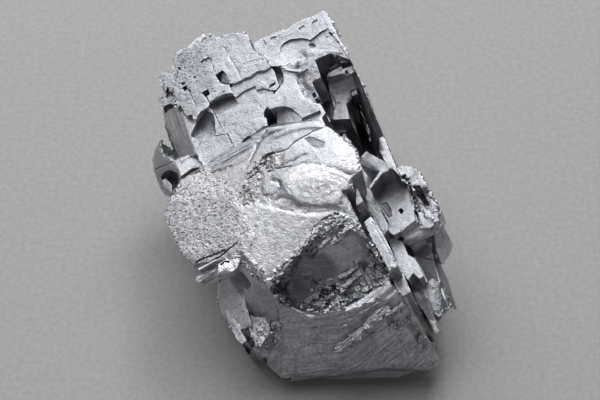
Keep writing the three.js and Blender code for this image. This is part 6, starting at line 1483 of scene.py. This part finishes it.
# painted black shade, which is also made rough and not metallic below
col = mix_colour(nt, math_node(nt, "MULTIPLY", black_, .85), col, (.03, .03, .034))
links.new(col, bsdf.inputs["Base Color"])
bsdf.inputs["Metallic"].default_value = 1.0
metal = math_node(nt, "SUBTRACT", 1.0, math_node(nt, "MULTIPLY", green_mask, .75), True)
metal = math_node(nt, "SUBTRACT", metal, math_node(nt, "MULTIPLY", warm_mask, .4), True)
metal = math_node(nt, "SUBTRACT", metal, crush_mask, True)
metal = math_node(nt, "SUBTRACT", metal, black_, True)
links.new(metal, bsdf.inputs["Metallic"])
rough = range_node(nt, noise_node(nt, co, 260, 3, .6), .3, .7, ROUGH[0], ROUGH[1])
rough = math_node(nt, "SUBTRACT", rough, math_node(nt, "MULTIPLY", sparkle_, .14))
rough = math_node(nt, "ADD", rough, math_node(nt, "MULTIPLY", dull_, .08))
rough = math_node(nt, "ADD", rough, range_node(nt, grain, .5, .75, 0, .12), True)
rough = math_node(nt, "ADD", rough, math_node(nt, "MULTIPLY", black_, .45), True)
links.new(rough, bsdf.inputs["Roughness"])
# bump: grain and growth lines finer than the net
b1 = noise_node(nt, co, 2300, 3, .65)
b2 = noise_node(nt, co, 5200, 2, .6)
lines = noise_node(nt, flow_, 4.2, 4, .7)
hgt = math_node(nt, "ADD", math_node(nt, "MULTIPLY", b1, .75), math_node(nt, "MULTIPLY", b2, .45))
hgt = math_node(nt, "ADD", hgt, math_node(nt, "MULTIPLY", math_node(nt, "MULTIPLY", lines, front_), 1.6))
hgt = math_node(nt, "SUBTRACT", hgt, math_node(nt, "MULTIPLY", pit_mask, .55))
bump = node(nt, "ShaderNodeBump", inputs={"Strength": BUMP[0], "Distance": BUMP[1]})
links.new(hgt, bump.inputs["Height"])
links.new(bump.outputs[0], bsdf.inputs["Normal"])
me.materials.append(galena)
g_me.materials.append(galena)

# ---- stage --------------------------------------------------------------------------------
scene = bpy.context.scene
scene.view_settings.view_transform = "Standard"
scene.view_settings.look = "None"
floor_me = bpy.data.meshes.new("floor")
floor_me.from_pydata([(-1.5, -1.5, 0), (1.5, -1.5, 0), (1.5, 1.5, 0), (-1.5, 1.5, 0)], [], [(0, 1, 2, 3)])
floor = bpy.data.objects.new("floor", floor_me)
scene.collection.objects.link(floor)
paper, nt, nodes, links, bsdf = material("pale_paper")
co = node(nt, "ShaderNodeTexCoord").outputs["Object"]
fleck = noise_node(nt, co, 900, 3, .6)
links.new(mix_colour(nt, range_node(nt, fleck, .35, .7, 0, 1), FLOOR[0], FLOOR[1]), bsdf.inputs["Base Color"])
bsdf.inputs["Roughness"].default_value = .9
bsdf.inputs["Specular IOR Level"].default_value = .2
bump = node(nt, "ShaderNodeBump", inputs={"Strength": .25, "Distance": .0002})
links.new(noise_node(nt, co, 1400, 2, .6), bump.inputs["Height"])
links.new(bump.outputs[0], bsdf.inputs["Normal"])
floor_me.materials.append(paper)

world = bpy.data.worlds.new("studio")
scene.world = world
world.use_nodes = True
world.node_tree.nodes["Background"].inputs[0].default_value = (*WORLD[1], 1)
world.node_tree.nodes["Background"].inputs[1].default_value = WORLD[0]


def area(name_, at, to, size, power, colour=(1, 1, 1), size_y=None):
    d = bpy.data.lights.new(name_, "AREA")
    d.shape = "RECTANGLE"
    d.size = size
    d.size_y = size_y or size
    d.energy = power
    d.color = colour
    o = bpy.data.objects.new(name_, d)
    scene.collection.objects.link(o)
    o.location = at
    o.rotation_euler = (Vector(to) - Vector(at)).to_track_quat("-Z", "Y").to_euler()
    return o


for L in LIGHTS:
    area(*L)

cam_data = bpy.data.cameras.new("camera")
cam_data.lens = 126
cam_data.sensor_width = 36
cam_data.clip_start = .01
cam = bpy.data.objects.new("camera", cam_data)
scene.collection.objects.link(cam)
cam.location = Vector(DATUM / 1000) + Vector(SIGHT[2]) * (EYE / 1000)
cam.rotation_euler = (math.radians(45), 0, 0)
scene.camera = cam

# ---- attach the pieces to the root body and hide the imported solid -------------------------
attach(piece, "root")
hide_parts("galena")
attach(small_cubes, "root")
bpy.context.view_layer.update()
print("scene", len(me.polygons), "triangles", round(time.time() - T0, 1), "s")
